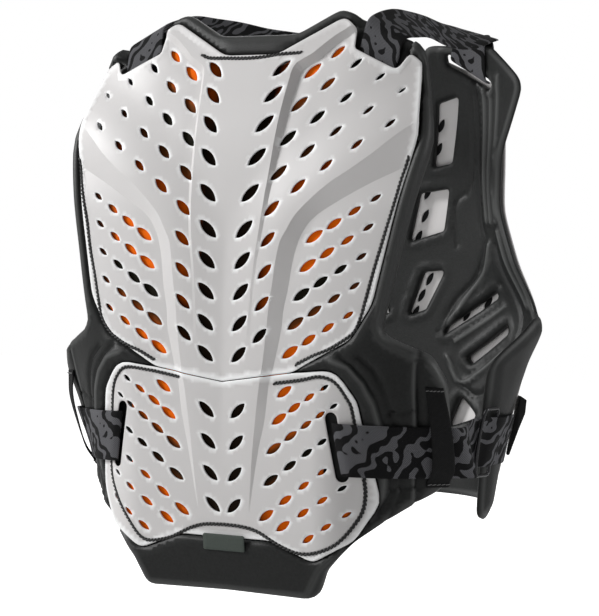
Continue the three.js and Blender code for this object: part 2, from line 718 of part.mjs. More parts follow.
// From the slot of the back shell over the wing, under the keeper, through the ring and onto the chest wing
function sideStrapRows() {
  const lift = -rimRise - 3 * gap - strapWall / 2;
  const fromSlot = [[0, 1.2], [2, -0.3], [5.5, -2.3], [14, -3.2], [23, -3.6]];
  const overWing = [141, 150, 160, 170, 180, 189];
  const onFoam = chestFoam + 4 * gap + strapWall / 2;
  const overRing = onFoam + strapWall + 4 * gap + ringWire;
  const onChestWing = [
    { at: hookStart, w: onFoam },
    { at: ringStart - 26, w: onFoam },
    { at: ringStart - 4, w: overRing },
    { at: ringStart + ringWire + 2, w: overRing },
    { at: ringEnd - ringWire - 3, w: onFoam },
    { at: ringEnd + 24, w: onFoam },
  ];
  const height = column(onChestWing, 'w');
  const stops = [];
  for (let s = ringEnd + 24; s > hookStart + hookWidth + 6; s -= latticeAcross / 3) {
    stops.push(s);
  }
  const levels = [sideStrapLevel + sideStrapWidth / 2, sideStrapLevel - sideStrapWidth / 2];
  const edge = (z) => [
    ...fromSlot.map(([step, w]) => backPlace(slotAt(z) + step, w, z)),
    ...overWing.map((x) => backPlace(x, lift, z)),
    ...stops.map((s) => chestPlace(s, height(s), z)),
  ];
  const [top, foot] = levels.map(edge);
  return top.map((point, i) => [point, foot[i]]);
}

const keeperRoute = [
  { z: -58, x: 180, stand: 0 },
  { z: -65, x: 179, stand: 0.05 },
  { z: -82, x: 177, stand: 0.75 },
  { z: -112, x: 173, stand: 1 },
  { z: -141, x: 169, stand: 0.7 },
  { z: -153, x: 167, stand: 0.04 },
  { z: -158, x: 166, stand: 0 },
];

function buildSide(name, side) {
  group.add(strapMesh(`side_strap_${name}`, sideStrapRows(), strapWall, side, blackWebbing));
  const seat = -rimRise - 2 * gap - keeperWall / 2;
  const keeper = keeperRoute.map(({ z, x, stand }) => [
    backPlace(x - keeperWidth / 2, seat - stand * keeperStand, z),
    backPlace(x + keeperWidth / 2, seat - stand * keeperStand, z),
  ]);
  group.add(strapMesh(`strap_keeper_${name}`, smoothRows(keeper, 12), keeperWall, side, greyWebbing));
  const ringFace = chestFoam + 7 * gap + strapWall;
  const outer = [[ringStart, ringHeight / 2], [ringEnd, ringHeight / 2], [ringEnd, -ringHeight / 2], [ringStart, -ringHeight / 2]];
  const shrink = (s) => (s === ringStart ? s + ringWire : s - ringWire);
  const inner = outer.map(([s, z]) => [shrink(s), z - Math.sign(z) * ringWire]);
  const frame = ([s, z]) => new THREE.Vector2(side * s, sideStrapLevel + z);
  const ring = cutSheet(outer.map(frame), ringFace, ringFace + ringWire)
    .subtract(plate(inner.map(frame), ringFace - 1, ringFace + ringWire + 1));
  group.add(bentMesh(`side_ring_${name}`, ring, chestPlace, blackWire));
  const hookFace = chestFoam + 4 * gap + shellWall;
  const profile = [[0, -76], [hookDepth * 0.8, -80], [hookDepth, -92], [hookDepth * 0.7, -108], [2.5, -130], [0, -130]];
  const hook = [hookStart, hookStart + hookWidth]
    .flatMap((s) => profile.map(([w, z]) => new THREE.Vector3(side * s, hookFace + w, z)));
  group.add(bentMesh(`side_hook_${name}`, loft(hook, profile.length), chestPlace, blackPlastic));
}

// Over the shoulder from the notch of the back shell
function shoulderRows() {
  const behind = shellWall + gap + strapWall / 2;
  const notch = [upperShellRim[4], upperShellRim[5]].map(backPlan);
  const inset = 2.5;
  const run = notch[1].clone().sub(notch[0]).normalize();
  const ends = [notch[0].clone().addScaledVector(run, inset), notch[1].clone().addScaledVector(run, -inset)];
  const rows = [[-7, behind], [1.5, behind], [12, behind - 1], [26, behind - 1]];
  const low = rows.map(([up, w]) => ends.map((p) => backPlace(p.x + 0.1 * up, w, p.y + up)));
  const backTop = tail + backHeight;
  const chestTop = chestFoot + chestHeight;
  const loops = [strapLoop[0], strapLoop[2]].map((row) => row.top[0] * chestHalf);
  const tops = notch.map((corner, i) => [
    new THREE.Vector3(corner.x + strapLean + i, backFaceY(notch[0].x, backTop) + padBack, backTop),
    new THREE.Vector3(loops[i] + shellWall * 2 + 4 * i, chestReach * reach(1) - 3 * strapWall - 2 * gap, chestTop),
  ]);
  const free = shoulderRoute.map((row) => tops.map(([from, to], i) => {
    const point = from.clone().lerp(to, row.at);
    point.z += i ? row.outer : row.inner;
    return point;
  }));
  return smoothRows([...low, ...free], 22);
}

// Round the top bar of the chest pad, from the slot up its inner face and down its outer face
function loopRows() {
  const inside = -gap - strapWall / 2;
  const outside = chestFoam + 3 * gap + strapWall / 2;
  const middle = chestFoam / 2;
  const lines = strapLoop.map((row) => [row.slot, row.top].map(([x, z]) => chestPlan({ x, z })));
  const rows = [
    [0, middle], [0, 1], [0.1, inside], [0.5, inside], [0.95, inside], [1.12, 1], [1.2, middle],
    [1.12, chestFoam - 0.5], [0.95, outside], [0.5, outside], [0.12, outside],
  ];
  return smoothRows(rows.map(([q, w]) => lines.map(([slot, top]) => chestPlace(
    THREE.MathUtils.lerp(slot.x, top.x, q), w, THREE.MathUtils.lerp(slot.y, top.y, q),
  ))), 16);
}

function buildShoulder(name, side) {
  group.add(strapMesh(`shoulder_strap_${name}`, shoulderRows(), strapWall, side, blackWebbing));
  group.add(strapMesh(`chest_loop_${name}`, loopRows(), strapWall, side, blackWebbing));
}

function buildTag() {
  const top = tail + tagTop * backHeight;
  const face = -rimRise - gap - tagWall;
  const points = [[-tagWidth / 2 + 2, top], [tagWidth / 2 + 2, top], [tagWidth / 2 + 2, top - tagHeight],
    [-tagWidth / 2 + 2, top - tagHeight]].map(([x, z]) => new THREE.Vector2(x, z));
  group.add(bentMesh('tag', plate(points, face, face + tagWall), backPlace, labelCloth));
}

buildShells();
buildBackPad();
buildChest();
for (const [name, side] of sides) {
  buildSide(name, side);
  buildShoulder(name, side);
}
buildTag();

export default group;
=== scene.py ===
import math
import bpy
import bmesh
import numpy as np
from mathutils import Matrix, Vector
from mathutils.geometry import delaunay_2d_cdt


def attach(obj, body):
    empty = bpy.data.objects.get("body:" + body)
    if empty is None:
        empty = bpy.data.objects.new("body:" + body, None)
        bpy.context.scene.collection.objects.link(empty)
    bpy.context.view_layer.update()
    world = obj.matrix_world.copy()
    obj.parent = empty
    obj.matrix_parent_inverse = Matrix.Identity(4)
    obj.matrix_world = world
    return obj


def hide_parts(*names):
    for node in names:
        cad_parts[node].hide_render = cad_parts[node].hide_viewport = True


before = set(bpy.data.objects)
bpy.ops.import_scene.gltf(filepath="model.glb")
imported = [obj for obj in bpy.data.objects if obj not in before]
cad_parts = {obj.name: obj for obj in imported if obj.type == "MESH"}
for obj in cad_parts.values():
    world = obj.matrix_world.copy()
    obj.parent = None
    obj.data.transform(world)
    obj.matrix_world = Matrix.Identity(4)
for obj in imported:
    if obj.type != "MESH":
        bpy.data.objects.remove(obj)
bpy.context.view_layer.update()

print("frame loaded")

shoulderHeight = 258
backPanel = {"half": 200, "height": 500, "reach": 128, "flat": 85, "wrap": 120, "lean": 56}
chestPanel = {"height": 440, "drop": 53, "reach": 190, "flat": 78, "bend": 100}
tail = -0.486 * backPanel["height"]
chestFoot = tail + chestPanel["drop"]

backBend = [
    {"at": 0.00, "lean": 0.29, "wrap": 0.93}, {"at": 0.10, "lean": 0.16, "wrap": 0.99},
    {"at": 0.20, "lean": 0.08, "wrap": 0.98}, {"at": 0.30, "lean": 0.04, "wrap": 0.69},
    {"at": 0.38, "lean": 0.01, "wrap": 0.44}, {"at": 0.48, "lean": 0.00, "wrap": 0.24},
    {"at": 0.58, "lean": 0.03, "wrap": 0.19}, {"at": 0.68, "lean": 0.11, "wrap": 0.14},
    {"at": 0.78, "lean": 0.29, "wrap": 0.16}, {"at": 0.88, "lean": 0.60, "wrap": 0.25},
    {"at": 1.00, "lean": 1.00, "wrap": 0.28},
]
chestBend = [
    {"at": 0.00, "reach": 0.925, "flat": 0.61, "bend": 0.82},
    {"at": 0.08, "reach": 0.940, "flat": 0.64, "bend": 0.85},
    {"at": 0.20, "reach": 0.963, "flat": 0.68, "bend": 0.92},
    {"at": 0.32, "reach": 0.984, "flat": 0.81, "bend": 0.99},
    {"at": 0.43, "reach": 1.000, "flat": 1.00, "bend": 1.00},
    {"at": 0.54, "reach": 1.005, "flat": 0.79, "bend": 0.89},
    {"at": 0.66, "reach": 0.995, "flat": 0.71, "bend": 0.85},
    {"at": 0.75, "reach": 0.968, "flat": 0.73, "bend": 0.97},
    {"at": 0.84, "reach": 0.916, "flat": 0.78, "bend": 1.24},
    {"at": 0.92, "reach": 0.842, "flat": 0.82, "bend": 1.59},
    {"at": 1.00, "reach": 0.768, "flat": 0.82, "bend": 1.77},
]


def columnOf(rows, name, key="at"):
    at = np.array([row[key] for row in rows], float)
    value = np.array([row[name] for row in rows], float)
    before = np.maximum(np.arange(len(at)) - 1, 0)
    after = np.minimum(np.arange(len(at)) + 1, len(at) - 1)
    slope = (value[after] - value[before]) / (at[after] - at[before])

    def read(t):
        t = np.clip(t, at[0], at[-1])
        i = np.clip(np.searchsorted(at, t, side="right") - 1, 0, len(at) - 2)
        span = at[i + 1] - at[i]
        u = (t - at[i]) / span
        rest = 1 - u
        return (value[i] * (1 + 2 * u) * rest * rest + slope[i] * span * u * rest * rest
                + value[i + 1] * (3 - 2 * u) * u * u - slope[i + 1] * span * u * u * rest)
    return read


backLean, backWrap = columnOf(backBend, "lean"), columnOf(backBend, "wrap")
chestReach, chestFlat, chestRound = (columnOf(chestBend, name) for name in ("reach", "flat", "bend"))


def backFace(x, z):
    at = (z - tail) / backPanel["height"]
    side = np.maximum(0, np.abs(x) - backPanel["flat"]) / (backPanel["half"] - backPanel["flat"])
    bend = backPanel["wrap"] * backWrap(at) * side * side
    return -backPanel["reach"] + backPanel["lean"] * backLean(at) + bend


# A flat point of the back panel in its place; w counts inwards from the shell's face
def onBack(x, w, z):
    x, w, z = (np.asarray(v, float) for v in np.broadcast_arrays(x, w, z))
    step = 0.5
    across = (backFace(x + step, z) - backFace(x - step, z)) / (2 * step)
    up = (backFace(x, z + step) - backFace(x, z - step)) / (2 * step)
    length = np.sqrt(1 + across ** 2 + up ** 2)
    return np.stack([x - w * across / length, backFace(x, z) + w / length, z - w * up / length], -1)


# The same for the chest panel; w counts outwards from the pad's inner face
def onChest(s, w, z):
    s, w, z = (np.asarray(v, float) for v in np.broadcast_arrays(s, w, z))
    at = (z - chestFoot) / chestPanel["height"]
    half, radius = chestPanel["flat"] * chestFlat(at), chestPanel["bend"] * chestRound(at)
    arc = np.maximum(0, np.abs(s) - half)
    turn = np.minimum(arc / radius, math.pi / 2)
    past = arc - turn * radius
    x = np.minimum(np.abs(s), half) + (radius + w) * np.sin(turn) + past * np.cos(turn)
    y = (chestPanel["reach"] * chestReach(at) - radius * (1 - np.cos(turn))
         - past * np.sin(turn) + w * np.cos(turn))
    return np.stack([np.sign(s) * x, y, z], -1)


def inPlace(points):
    return (np.asarray(points, float) - [0, 0, shoulderHeight]) / 1000


# Flat outlines: corners of the right half with their rounding, from the top middle to the bottom middle
upperShellRim = [(0, 215, 0), (26, 215, 22), (84, 247.5, 14), (95.5, 238, 4), (97, 221, 4), (138, 202, 5),
                 (146, 217, 5), (157, 208.5, 8), (169, 146, 42), (139, 7, 40), (120, -23, 22),
                 (68, -51.4, 24), (0, -61.5, 0)]
lowerShellRim = [(0, -62.2, 0), (68, -52.1, 24), (108, -48, 20), (125, -73, 22), (138.4, -158, 24),
                 (120, -190, 22), (86, -210, 14), (44, -194, 22), (0, -194.5, 0)]
backPadRim = [(0, 236.5, 0), (38, 236.5, 26), (77, 258, 16), (156, 227, 30), (180, 147, 60), (145, -18, 12),
              (184, -38, 12), (191, -58, 14), (179, -143, 26), (120, -193, 20), (95, -219, 12),
              (82, -243, 12), (0, -241.5, 0)]
chestPadRim = [(0, 146.6, 0), (29, 157.6, 26), (39, 245.6, 14), (112, 243.4, 14), (150, 208.2, 16),
               (117, 146.6, 40), (118, 91.6, 40), (172, -3, 20), (222, -3, 26), (265, -44.4, 18),
               (203, -119.6, 36), (174.4, -184.7, 14), (150, -189, 14), (118.4, -174, 18), (0, -172, 0)]
chestShellRim = [(0, 135.6, 0), (32, 149.5, 20), (46, 237.7, 6), (112, 206, 10), (110, 91.6, 40),
                 (156.8, -11.8, 26), (150.4, -80, 34), (128, -154.8, 18), (0, -154.8, 0)]
linerRim = [(0, 208, 0), (26, 208.5, 16), (80, 239, 8), (92, 226, 4), (92, 205, 4), (148, 177, 14),
            (154, 137, 24), (124, -3, 18), (60, -43, 4), (60, -59, 4), (96, -58, 8), (96, -148, 8),
            (124, -163, 8), (86, -197, 8), (0, -187, 0)]


def roundedLine(rows, closed=False, step=0.35):
    corners = [np.array(row[:2], float) for row in rows]
    points = []
    for i, (corner, row) in enumerate(zip(corners, rows)):
        radius = row[2] if len(row) > 2 else 0
        if radius == 0 or (not closed and i in (0, len(rows) - 1)):
            points.append(corner)
            continue
        before, after = corners[i - 1] - corner, corners[(i + 1) % len(corners)] - corner
        lengths = np.linalg.norm(before), np.linalg.norm(after)
        angle = math.acos(np.clip(before @ after / (lengths[0] * lengths[1]), -1, 1))
        reach = min(radius / math.tan(angle / 2), 0.48 * lengths[0], 0.48 * lengths[1])
        start, end = corner + before / lengths[0] * reach, corner + after / lengths[1] * reach
        count = max(2, round((math.pi - angle) / step))
        for t in np.linspace(0, 1, count + 1):
            points.append((1 - t) ** 2 * start + 2 * t * (1 - t) * corner + t * t * end)
    return np.array(points)


def bothHalves(half):
    return np.vstack([half, half[-2:0:-1] * [-1, 1]])


def evenly(points, step, closed=True):
    loop = np.vstack([points, points[:1]]) if closed else np.asarray(points, float)
    along = np.concatenate([[0], np.cumsum(np.linalg.norm(np.diff(loop, axis=0), axis=1))])
    count = max(3, round(along[-1] / step))
    at = np.linspace(0, along[-1], count + 1)[:count if closed else count + 1]
    return np.stack([np.interp(at, along, loop[:, k]) for k in range(loop.shape[1])], -1)


def outlineOf(rows, step=2.4):
    return evenly(bothHalves(roundedLine(rows)), step)


def signedArea(loop):
    nxt = np.roll(loop, -1, 0)
    return 0.5 * np.sum(loop[:, 0] * nxt[:, 1] - nxt[:, 0] * loop[:, 1])


def outward(loop):
    along = np.roll(loop, -1, 0) - np.roll(loop, 1, 0)
    normal = np.stack([along[:, 1], -along[:, 0]], -1)
    return normal / np.linalg.norm(normal, axis=1, keepdims=True) * np.sign(signedArea(loop))


def distanceTo(points, line, closed=True):
    ends = np.roll(line, -1, 0) if closed else line[1:]
    best = np.full(len(points), 1e9)
    for a, b in zip(line, ends):
        run = b - a
        t = np.clip(((points - a) @ run) / max(run @ run, 1e-9), 0, 1)
        best = np.minimum(best, np.hypot(*(points - a - t[:, None] * run).T))
    return best


def insideOf(points, loop):
    odd = np.zeros(len(points), bool)
    for a, b in zip(loop, np.roll(loop, -1, 0)):
        if a[1] != b[1]:
            cross = (a[1] > points[:, 1]) != (b[1] > points[:, 1])
            odd ^= cross & (points[:, 0] < (b[0] - a[0]) * (points[:, 1] - a[1]) / (b[1] - a[1]) + a[0])
    return odd


def awayFrom(points, loop):
    return np.where(insideOf(points, loop), 0.0, distanceTo(points, loop))


def ease(t):
    t = np.clip(t, 0, 1)
    return t * t * (3 - 2 * t)


def grooveAlong(points, line, width, depth):
    return depth * np.exp(-(distanceTo(points, np.asarray(line, float), False) / width) ** 2)


def mirroredLine(line):
    return np.asarray(line, float) * [-1, 1]


# Points of both halves, all brought over to the right half
def onRightHalf(points):
    return np.abs(points) * [1, 0] + points * [0, 1]


# Stores a number for each point under each name
def markPoints(mesh, marks):
    for key, values in (marks or {}).items():
        mesh.attributes.new(key, "FLOAT", "POINT").data.foreach_set("value", np.asarray(values, float))


def makeMesh(name, points, faces, material, smooth=True, uv=None, marks=None):
    mesh = bpy.data.meshes.new(name)
    mesh.from_pydata([tuple(p) for p in points], [], [tuple(int(i) for i in f) for f in faces])
    piece = bpy.data.objects.new(name, mesh)
    bpy.context.scene.collection.objects.link(piece)
    mesh.materials.append(material)
    if uv is not None:
        layer = mesh.uv_layers.new(name="along")
        corner = np.zeros(len(mesh.loops), int)
        mesh.loops.foreach_get("vertex_index", corner)
        layer.data.foreach_set("uv", np.asarray(uv)[corner].ravel())
    markPoints(mesh, marks)
    for polygon in mesh.polygons:
        polygon.use_smooth = smooth
    return piece


# Faces turned outwards, and the edges bevelled where a width is given
def turnOutwards(piece, bevel=0):
    work = bmesh.new()
    work.from_mesh(piece.data)
    bmesh.ops.recalc_face_normals(work, faces=work.faces)
    if bevel:
        bmesh.ops.bevel(work, geom=work.edges, offset=bevel, segments=2, affect="EDGES", profile=0.6)
    work.to_mesh(piece.data)
    work.free()


def tidyMesh(piece, merge=2e-5, sharp=None):
    work = bmesh.new()
    work.from_mesh(piece.data)
    bmesh.ops.remove_doubles(work, verts=work.verts, dist=merge)
    bmesh.ops.dissolve_degenerate(work, edges=work.edges, dist=1e-6)
    bmesh.ops.recalc_face_normals(work, faces=work.faces)
    if sharp:
        for edge in work.edges:
            flatFaces = [len(face.verts) == 3 for face in edge.link_faces]
            if len(flatFaces) == 2 and all(flatFaces) and edge.calc_face_angle(0) > sharp:
                edge.smooth = False
    work.to_mesh(piece.data)
    work.free()


# Triangles between an outer ring and the rings of its holes
def fillBetween(outer, holes, spacing, creases=()):
    low, high = outer.min(0), outer.max(0)
    rowsUp = np.arange(low[1], high[1], spacing * 0.87)
    grid = np.array([(x + (i % 2) * spacing / 2, z) for i, z in enumerate(rowsUp)
                     for x in np.arange(low[0], high[0], spacing)])
    grid = grid[insideOf(grid, outer)]
    grid = grid[distanceTo(grid, outer) > 0.5 * spacing]
    for crease in creases:
        grid = grid[distanceTo(grid, crease, False) > 0.4 * spacing]
    for hole in holes:
        near = np.all((grid > hole.min(0) - spacing) & (grid < hole.max(0) + spacing), axis=1)
        close = np.zeros(len(grid), bool)
        close[near] = insideOf(grid[near], hole) | (distanceTo(grid[near], hole) < 0.45 * spacing)
        grid = grid[~close]
    points, edges = [outer, *holes], []
    start = 0
    for loop in points:
        edges += [(start + i, start + (i + 1) % len(loop)) for i in range(len(loop))]
        start += len(loop)
    for crease in creases:
        clear = insideOf(crease, outer) & (distanceTo(crease, outer) > 1)
        for hole in holes:
            clear &= ~insideOf(crease, hole) & (distanceTo(crease, hole) > 0.8)
        edges += [(start + i, start + i + 1) for i in range(len(crease) - 1) if clear[i] and clear[i + 1]]
        points.append(crease)
        start += len(crease)
    stacked = np.vstack([*points, grid])
    flat, _, triangles, *_ = delaunay_2d_cdt([Vector(p) for p in stacked], edges, [], 0, 1e-5)
    flat = np.array([tuple(p) for p in flat])
    triangles = np.array([t for t in triangles if len(t) == 3])
    middle = flat[triangles].mean(1)
    keep = insideOf(middle, outer)
    for hole in holes:
        near = np.all((middle > hole.min(0)) & (middle < hole.max(0)), axis=1)
        keep[near] &= ~insideOf(middle[near], hole)
    return flat, triangles[keep]


def addNode(tree, kind, **settings):
    node = tree.nodes.new(kind)
    for key, value in settings.items():
        setattr(node, key, value)
    return node


def groupSocket(tree, name, kind, out=False, value=None):
    socket = tree.interface.new_socket(name, in_out="OUTPUT" if out else "INPUT", socket_type=kind)
    if value is not None:
        socket.default_value = value
    return socket


# Runs a node tree on a flat piece and gives back the plain mesh's points and faces
def runTree(tree, source, values):
    modifier = source.modifiers.new(tree.name, "NODES")
    modifier.node_group = tree
    for name, value in values.items():
        modifier[tree.interface.items_tree[name].identifier] = value
    bpy.context.view_layer.update()
    ready = source.evaluated_get(bpy.context.evaluated_depsgraph_get())
    mesh = bpy.data.meshes.new_from_object(ready)
    source.modifiers.remove(modifier)
    points = np.zeros(len(mesh.vertices) * 3)
    mesh.vertices.foreach_get("co", points)
    faces = [tuple(p.vertices) for p in mesh.polygons]
    bpy.data.meshes.remove(mesh)
    return points.reshape(-1, 3), faces


def scratchObject(name, points, faces=(), edges=(), attributes=None):
    mesh = bpy.data.meshes.new(name)
    corners = [tuple(float(v) for v in p) for p in points]
    mesh.from_pydata(corners, [tuple(e) for e in edges], [tuple(f) for f in faces])
    markPoints(mesh, attributes)
    item = bpy.data.objects.new(name, mesh)
    bpy.context.scene.collection.objects.link(item)
    return item


def dropObject(item):
    mesh = item.data
    bpy.data.objects.remove(item)
    bpy.data.meshes.remove(mesh)


# Materials
def newMaterial(name):
    material = bpy.data.materials.new(name)
    material.use_nodes = True
    tree = material.node_tree
    tree.nodes.clear()
    output = addNode(tree, "ShaderNodeOutputMaterial")
    shader = addNode(tree, "ShaderNodeBsdfPrincipled")
    tree.links.new(shader.outputs["BSDF"], output.inputs["Surface"])
    return material, tree, shader


def mottleGroup():
    tree = bpy.data.node_groups.new("mottle", "ShaderNodeTree")
    groupSocket(tree, "Scale", "NodeSocketFloat", value=40)
    groupSocket(tree, "Dark", "NodeSocketColor", value=(0.1, 0.1, 0.1, 1))
    groupSocket(tree, "Light", "NodeSocketColor", value=(0.2, 0.2, 0.2, 1))
    groupSocket(tree, "Colour", "NodeSocketColor", out=True)
    groupSocket(tree, "Amount", "NodeSocketFloat", out=True)
    source, target = addNode(tree, "NodeGroupInput"), addNode(tree, "NodeGroupOutput")
    place = addNode(tree, "ShaderNodeTexCoord")
    noise = addNode(tree, "ShaderNodeTexNoise")
    noise.inputs["Detail"].default_value = 4
    blend = addNode(tree, "ShaderNodeMix", data_type="RGBA")
    links = tree.links
    links.new(place.outputs["Object"], noise.inputs["Vector"])
    links.new(source.outputs["Scale"], noise.inputs["Scale"])
    links.new(noise.outputs["Fac"], blend.inputs["Factor"])
    links.new(source.outputs["Dark"], blend.inputs["A"])
    links.new(source.outputs["Light"], blend.inputs["B"])
    links.new(blend.outputs["Result"], target.inputs["Colour"])
    links.new(noise.outputs["Fac"], target.inputs["Amount"])
    return tree


mottle = mottleGroup()


def placeGroup(tree, group, **values):
    node = addNode(tree, "ShaderNodeGroup", node_tree=group)
    for key, value in values.items():
        node.inputs[key].default_value = value
    return node


def addBump(tree, shader, height, strength, distance):
    bump = addNode(tree, "ShaderNodeBump")
    bump.inputs["Strength"].default_value = strength
    bump.inputs["Distance"].default_value = distance
    tree.links.new(height, bump.inputs["Height"])
    tree.links.new(bump.outputs["Normal"], shader.inputs["Normal"])
    return bump


def rampOf(tree, factor, stops):
    ramp = addNode(tree, "ShaderNodeValToRGB")
    while len(ramp.color_ramp.elements) < len(stops):
        ramp.color_ramp.elements.new(0.5)
    for element, (at, colour) in zip(ramp.color_ramp.elements, stops):
        element.position = at
        element.color = colour
    tree.links.new(factor, ramp.inputs["Fac"])
    return ramp


# Blends a colour over the base one wherever a mark stored on the mesh is high
def paintMark(tree, shader, name, base, colour):
    mark = addNode(tree, "ShaderNodeAttribute", attribute_name=name)
    blend = addNode(tree, "ShaderNodeMix", data_type="RGBA")
    blend.inputs["B"].default_value = colour
    tree.links.new(mark.outputs["Fac"], blend.inputs["Factor"])
    tree.links.new(base, blend.inputs["A"])
    tree.links.new(blend.outputs["Result"], shader.inputs["Base Color"])


def shellPaint():
    material, tree, shader = newMaterial("shellWhite")
    shades = placeGroup(tree, mottle, Scale=9, Dark=(0.60, 0.585, 0.58, 1), Light=(0.66, 0.645, 0.64, 1))
    # The rim mark paints a highlight: near-white along the shells' edges and round the hole lips
    paintMark(tree, shader, "rim", shades.outputs["Colour"], (0.90, 0.90, 0.90, 1))
    shader.inputs["Roughness"].default_value = 0.42
    shader.inputs["Specular IOR Level"].default_value = 0.35
    grain = placeGroup(tree, mottle, Scale=900)
    addBump(tree, shader, grain.outputs["Amount"], 0.05, 0.0003)
    return material


def foamPaint(name, dark, light, rough):
    material, tree, shader = newMaterial(name)
    shades = placeGroup(tree, mottle, Scale=420, Dark=dark, Light=light)
    # The ridge mark paints a highlight on the foam along its ridges and its rim
    paintMark(tree, shader, "ridge", shades.outputs["Colour"], (0.125, 0.128, 0.126, 1))
    shader.inputs["Roughness"].default_value = rough
    shader.inputs["Specular IOR Level"].default_value = 0.24
    grain = placeGroup(tree, mottle, Scale=1100)
    addBump(tree, shader, grain.outputs["Amount"], 0.35, 0.0006)
    return material


# Colour against height, counted down the slope of the hole rows from 0 at z -560 to 1 at z -60
def linerBands(dark, shadedOrange, glow):
    # The brown steps between the orange and the dark bars are painted shade
    rows = [(-240, glow), (-186, glow), (-178, shadedOrange), (-170, dark), (-156, dark), (-148, shadedOrange),
            (-140, glow), (-66, glow), (-54, shadedOrange), (-44, dark), (-26, dark), (-18, glow), (66, glow),
            (84, shadedOrange), (100, dark), (126, dark), (140, shadedOrange), (152, glow)]
    return [((z - shoulderHeight + 560) / 500, colour) for z, colour in rows]


# Cloth behind the holes: bright orange in blocks with dark bars between them; painted shade makes it brown
# where the orange meets the bars, dark brown along the spine and darker towards the outer edges
def linerPaint():
    material, tree, shader = newMaterial("linerOrange")
    links = tree.links
    place = addNode(tree, "ShaderNodeTexCoord")
    split = addNode(tree, "ShaderNodeSeparateXYZ")
    links.new(place.outputs["Object"], split.inputs["Vector"])
    off = addNode(tree, "ShaderNodeMath", operation="ABSOLUTE")
    links.new(split.outputs["X"], off.inputs[0])
    slope = addNode(tree, "ShaderNodeMath", operation="MULTIPLY_ADD")
    slope.inputs[1].default_value = -0.62
    links.new(off.outputs["Value"], slope.inputs[0])
    links.new(split.outputs["Z"], slope.inputs[2])
    height = addNode(tree, "ShaderNodeMapRange")
    height.inputs["From Min"].default_value = -0.56
    height.inputs["From Max"].default_value = -0.06
    links.new(slope.outputs["Value"], height.inputs["Value"])
    dark, shadedOrange, glow = (0.010, 0.008, 0.004, 1), (0.15, 0.042, 0.008, 1), (0.90, 0.150, 0.002, 1)
    bands = rampOf(tree, height.outputs["Result"], linerBands(dark, shadedOrange, glow))
    spread = addNode(tree, "ShaderNodeMapRange")
    spread.inputs["From Min"].default_value = 0.026
    spread.inputs["From Max"].default_value = 0.046
    links.new(off.outputs["Value"], spread.inputs["Value"])
    spineShade = addNode(tree, "ShaderNodeMix", data_type="RGBA")
    # Painted shade: dark brown along the spine
    spineShade.inputs["A"].default_value = (0.016, 0.009, 0.005, 1)
    links.new(spread.outputs["Result"], spineShade.inputs["Factor"])
    links.new(bands.outputs["Color"], spineShade.inputs["B"])
    edge = addNode(tree, "ShaderNodeMapRange")
    edge.inputs["From Min"].default_value = 0.112
    edge.inputs["From Max"].default_value = 0.132
    links.new(off.outputs["Value"], edge.inputs["Value"])
    outer = addNode(tree, "ShaderNodeMix", data_type="RGBA")
    # Painted shade: darker towards the outer edges
    outer.inputs["B"].default_value = (0.09, 0.026, 0.010, 1)
    links.new(edge.outputs["Result"], outer.inputs["Factor"])
    links.new(spineShade.outputs["Result"], outer.inputs["A"])
    links.new(outer.outputs["Result"], shader.inputs["Base Color"])
    shader.inputs["Roughness"].default_value = 0.8
    shader.inputs["Specular IOR Level"].default_value = 0.08
    grain = placeGroup(tree, mottle, Scale=700)
    addBump(tree, shader, grain.outputs["Amount"], 0.3, 0.0005)
    return material


# Woven tape with flowing light strokes on a dark ground; UV runs along and across in millimetres
def webbingPaint(name, ground, figure, pitch, strength):
    material, tree, shader = newMaterial(name)
    links = tree.links
    place = addNode(tree, "ShaderNodeUVMap", uv_map="along")
    ribs = addNode(tree, "ShaderNodeTexWave", wave_type="BANDS", bands_direction="DIAGONAL")
    ribs.inputs["Scale"].default_value = 0.35
    ribs.inputs["Distortion"].default_value = 1.2
    links.new(place.outputs["UV"], ribs.inputs["Vector"])
    strokes = addNode(tree, "ShaderNodeTexWave", wave_type="BANDS", bands_direction="DIAGONAL")
    strokes.inputs["Scale"].default_value = pitch
    strokes.inputs["Distortion"].default_value = 9
    strokes.inputs["Detail"].default_value = 1
    strokes.inputs["Detail Scale"].default_value = 2.2
    links.new(place.outputs["UV"], strokes.inputs["Vector"])
    mask = rampOf(tree, strokes.outputs["Fac"], [(0.55, (0, 0, 0, 1)), (0.60, (1, 1, 1, 1))])
    threads = addNode(tree, "ShaderNodeMath", operation="MULTIPLY")
    links.new(mask.outputs["Color"], threads.inputs[0])
    fine = rampOf(tree, ribs.outputs["Color"], [(0.0, (0.45, 0.45, 0.45, 1)), (1.0, (1, 1, 1, 1))])
    links.new(fine.outputs["Color"], threads.inputs[1])
    level = addNode(tree, "ShaderNodeMath", operation="MULTIPLY")
    level.inputs[1].default_value = strength
    links.new(threads.outputs["Value"], level.inputs[0])
    blend = addNode(tree, "ShaderNodeMix", data_type="RGBA")
    blend.inputs["A"].default_value = ground
    blend.inputs["B"].default_value = figure
    links.new(level.outputs["Value"], blend.inputs["Factor"])
    links.new(blend.outputs["Result"], shader.inputs["Base Color"])
    shader.inputs["Roughness"].default_value = 0.8
    shader.inputs["Specular IOR Level"].default_value = 0.2
    addBump(tree, shader, ribs.outputs["Color"], 0.5, 0.0004)
    return material


def plainPaint(name, colour, rough, scale=300, lift=1.5, bump=0.2, metallic=0.0):
    material, tree, shader = newMaterial(name)
    light = tuple(min(1, c * lift) for c in colour[:3]) + (1,)
    shades = placeGroup(tree, mottle, Scale=scale, Dark=colour, Light=light)
    tree.links.new(shades.outputs["Colour"], shader.inputs["Base Color"])
    shader.inputs["Roughness"].default_value = rough
    shader.inputs["Metallic"].default_value = metallic
    addBump(tree, shader, shades.outputs["Amount"], bump, 0.0004)
    return material


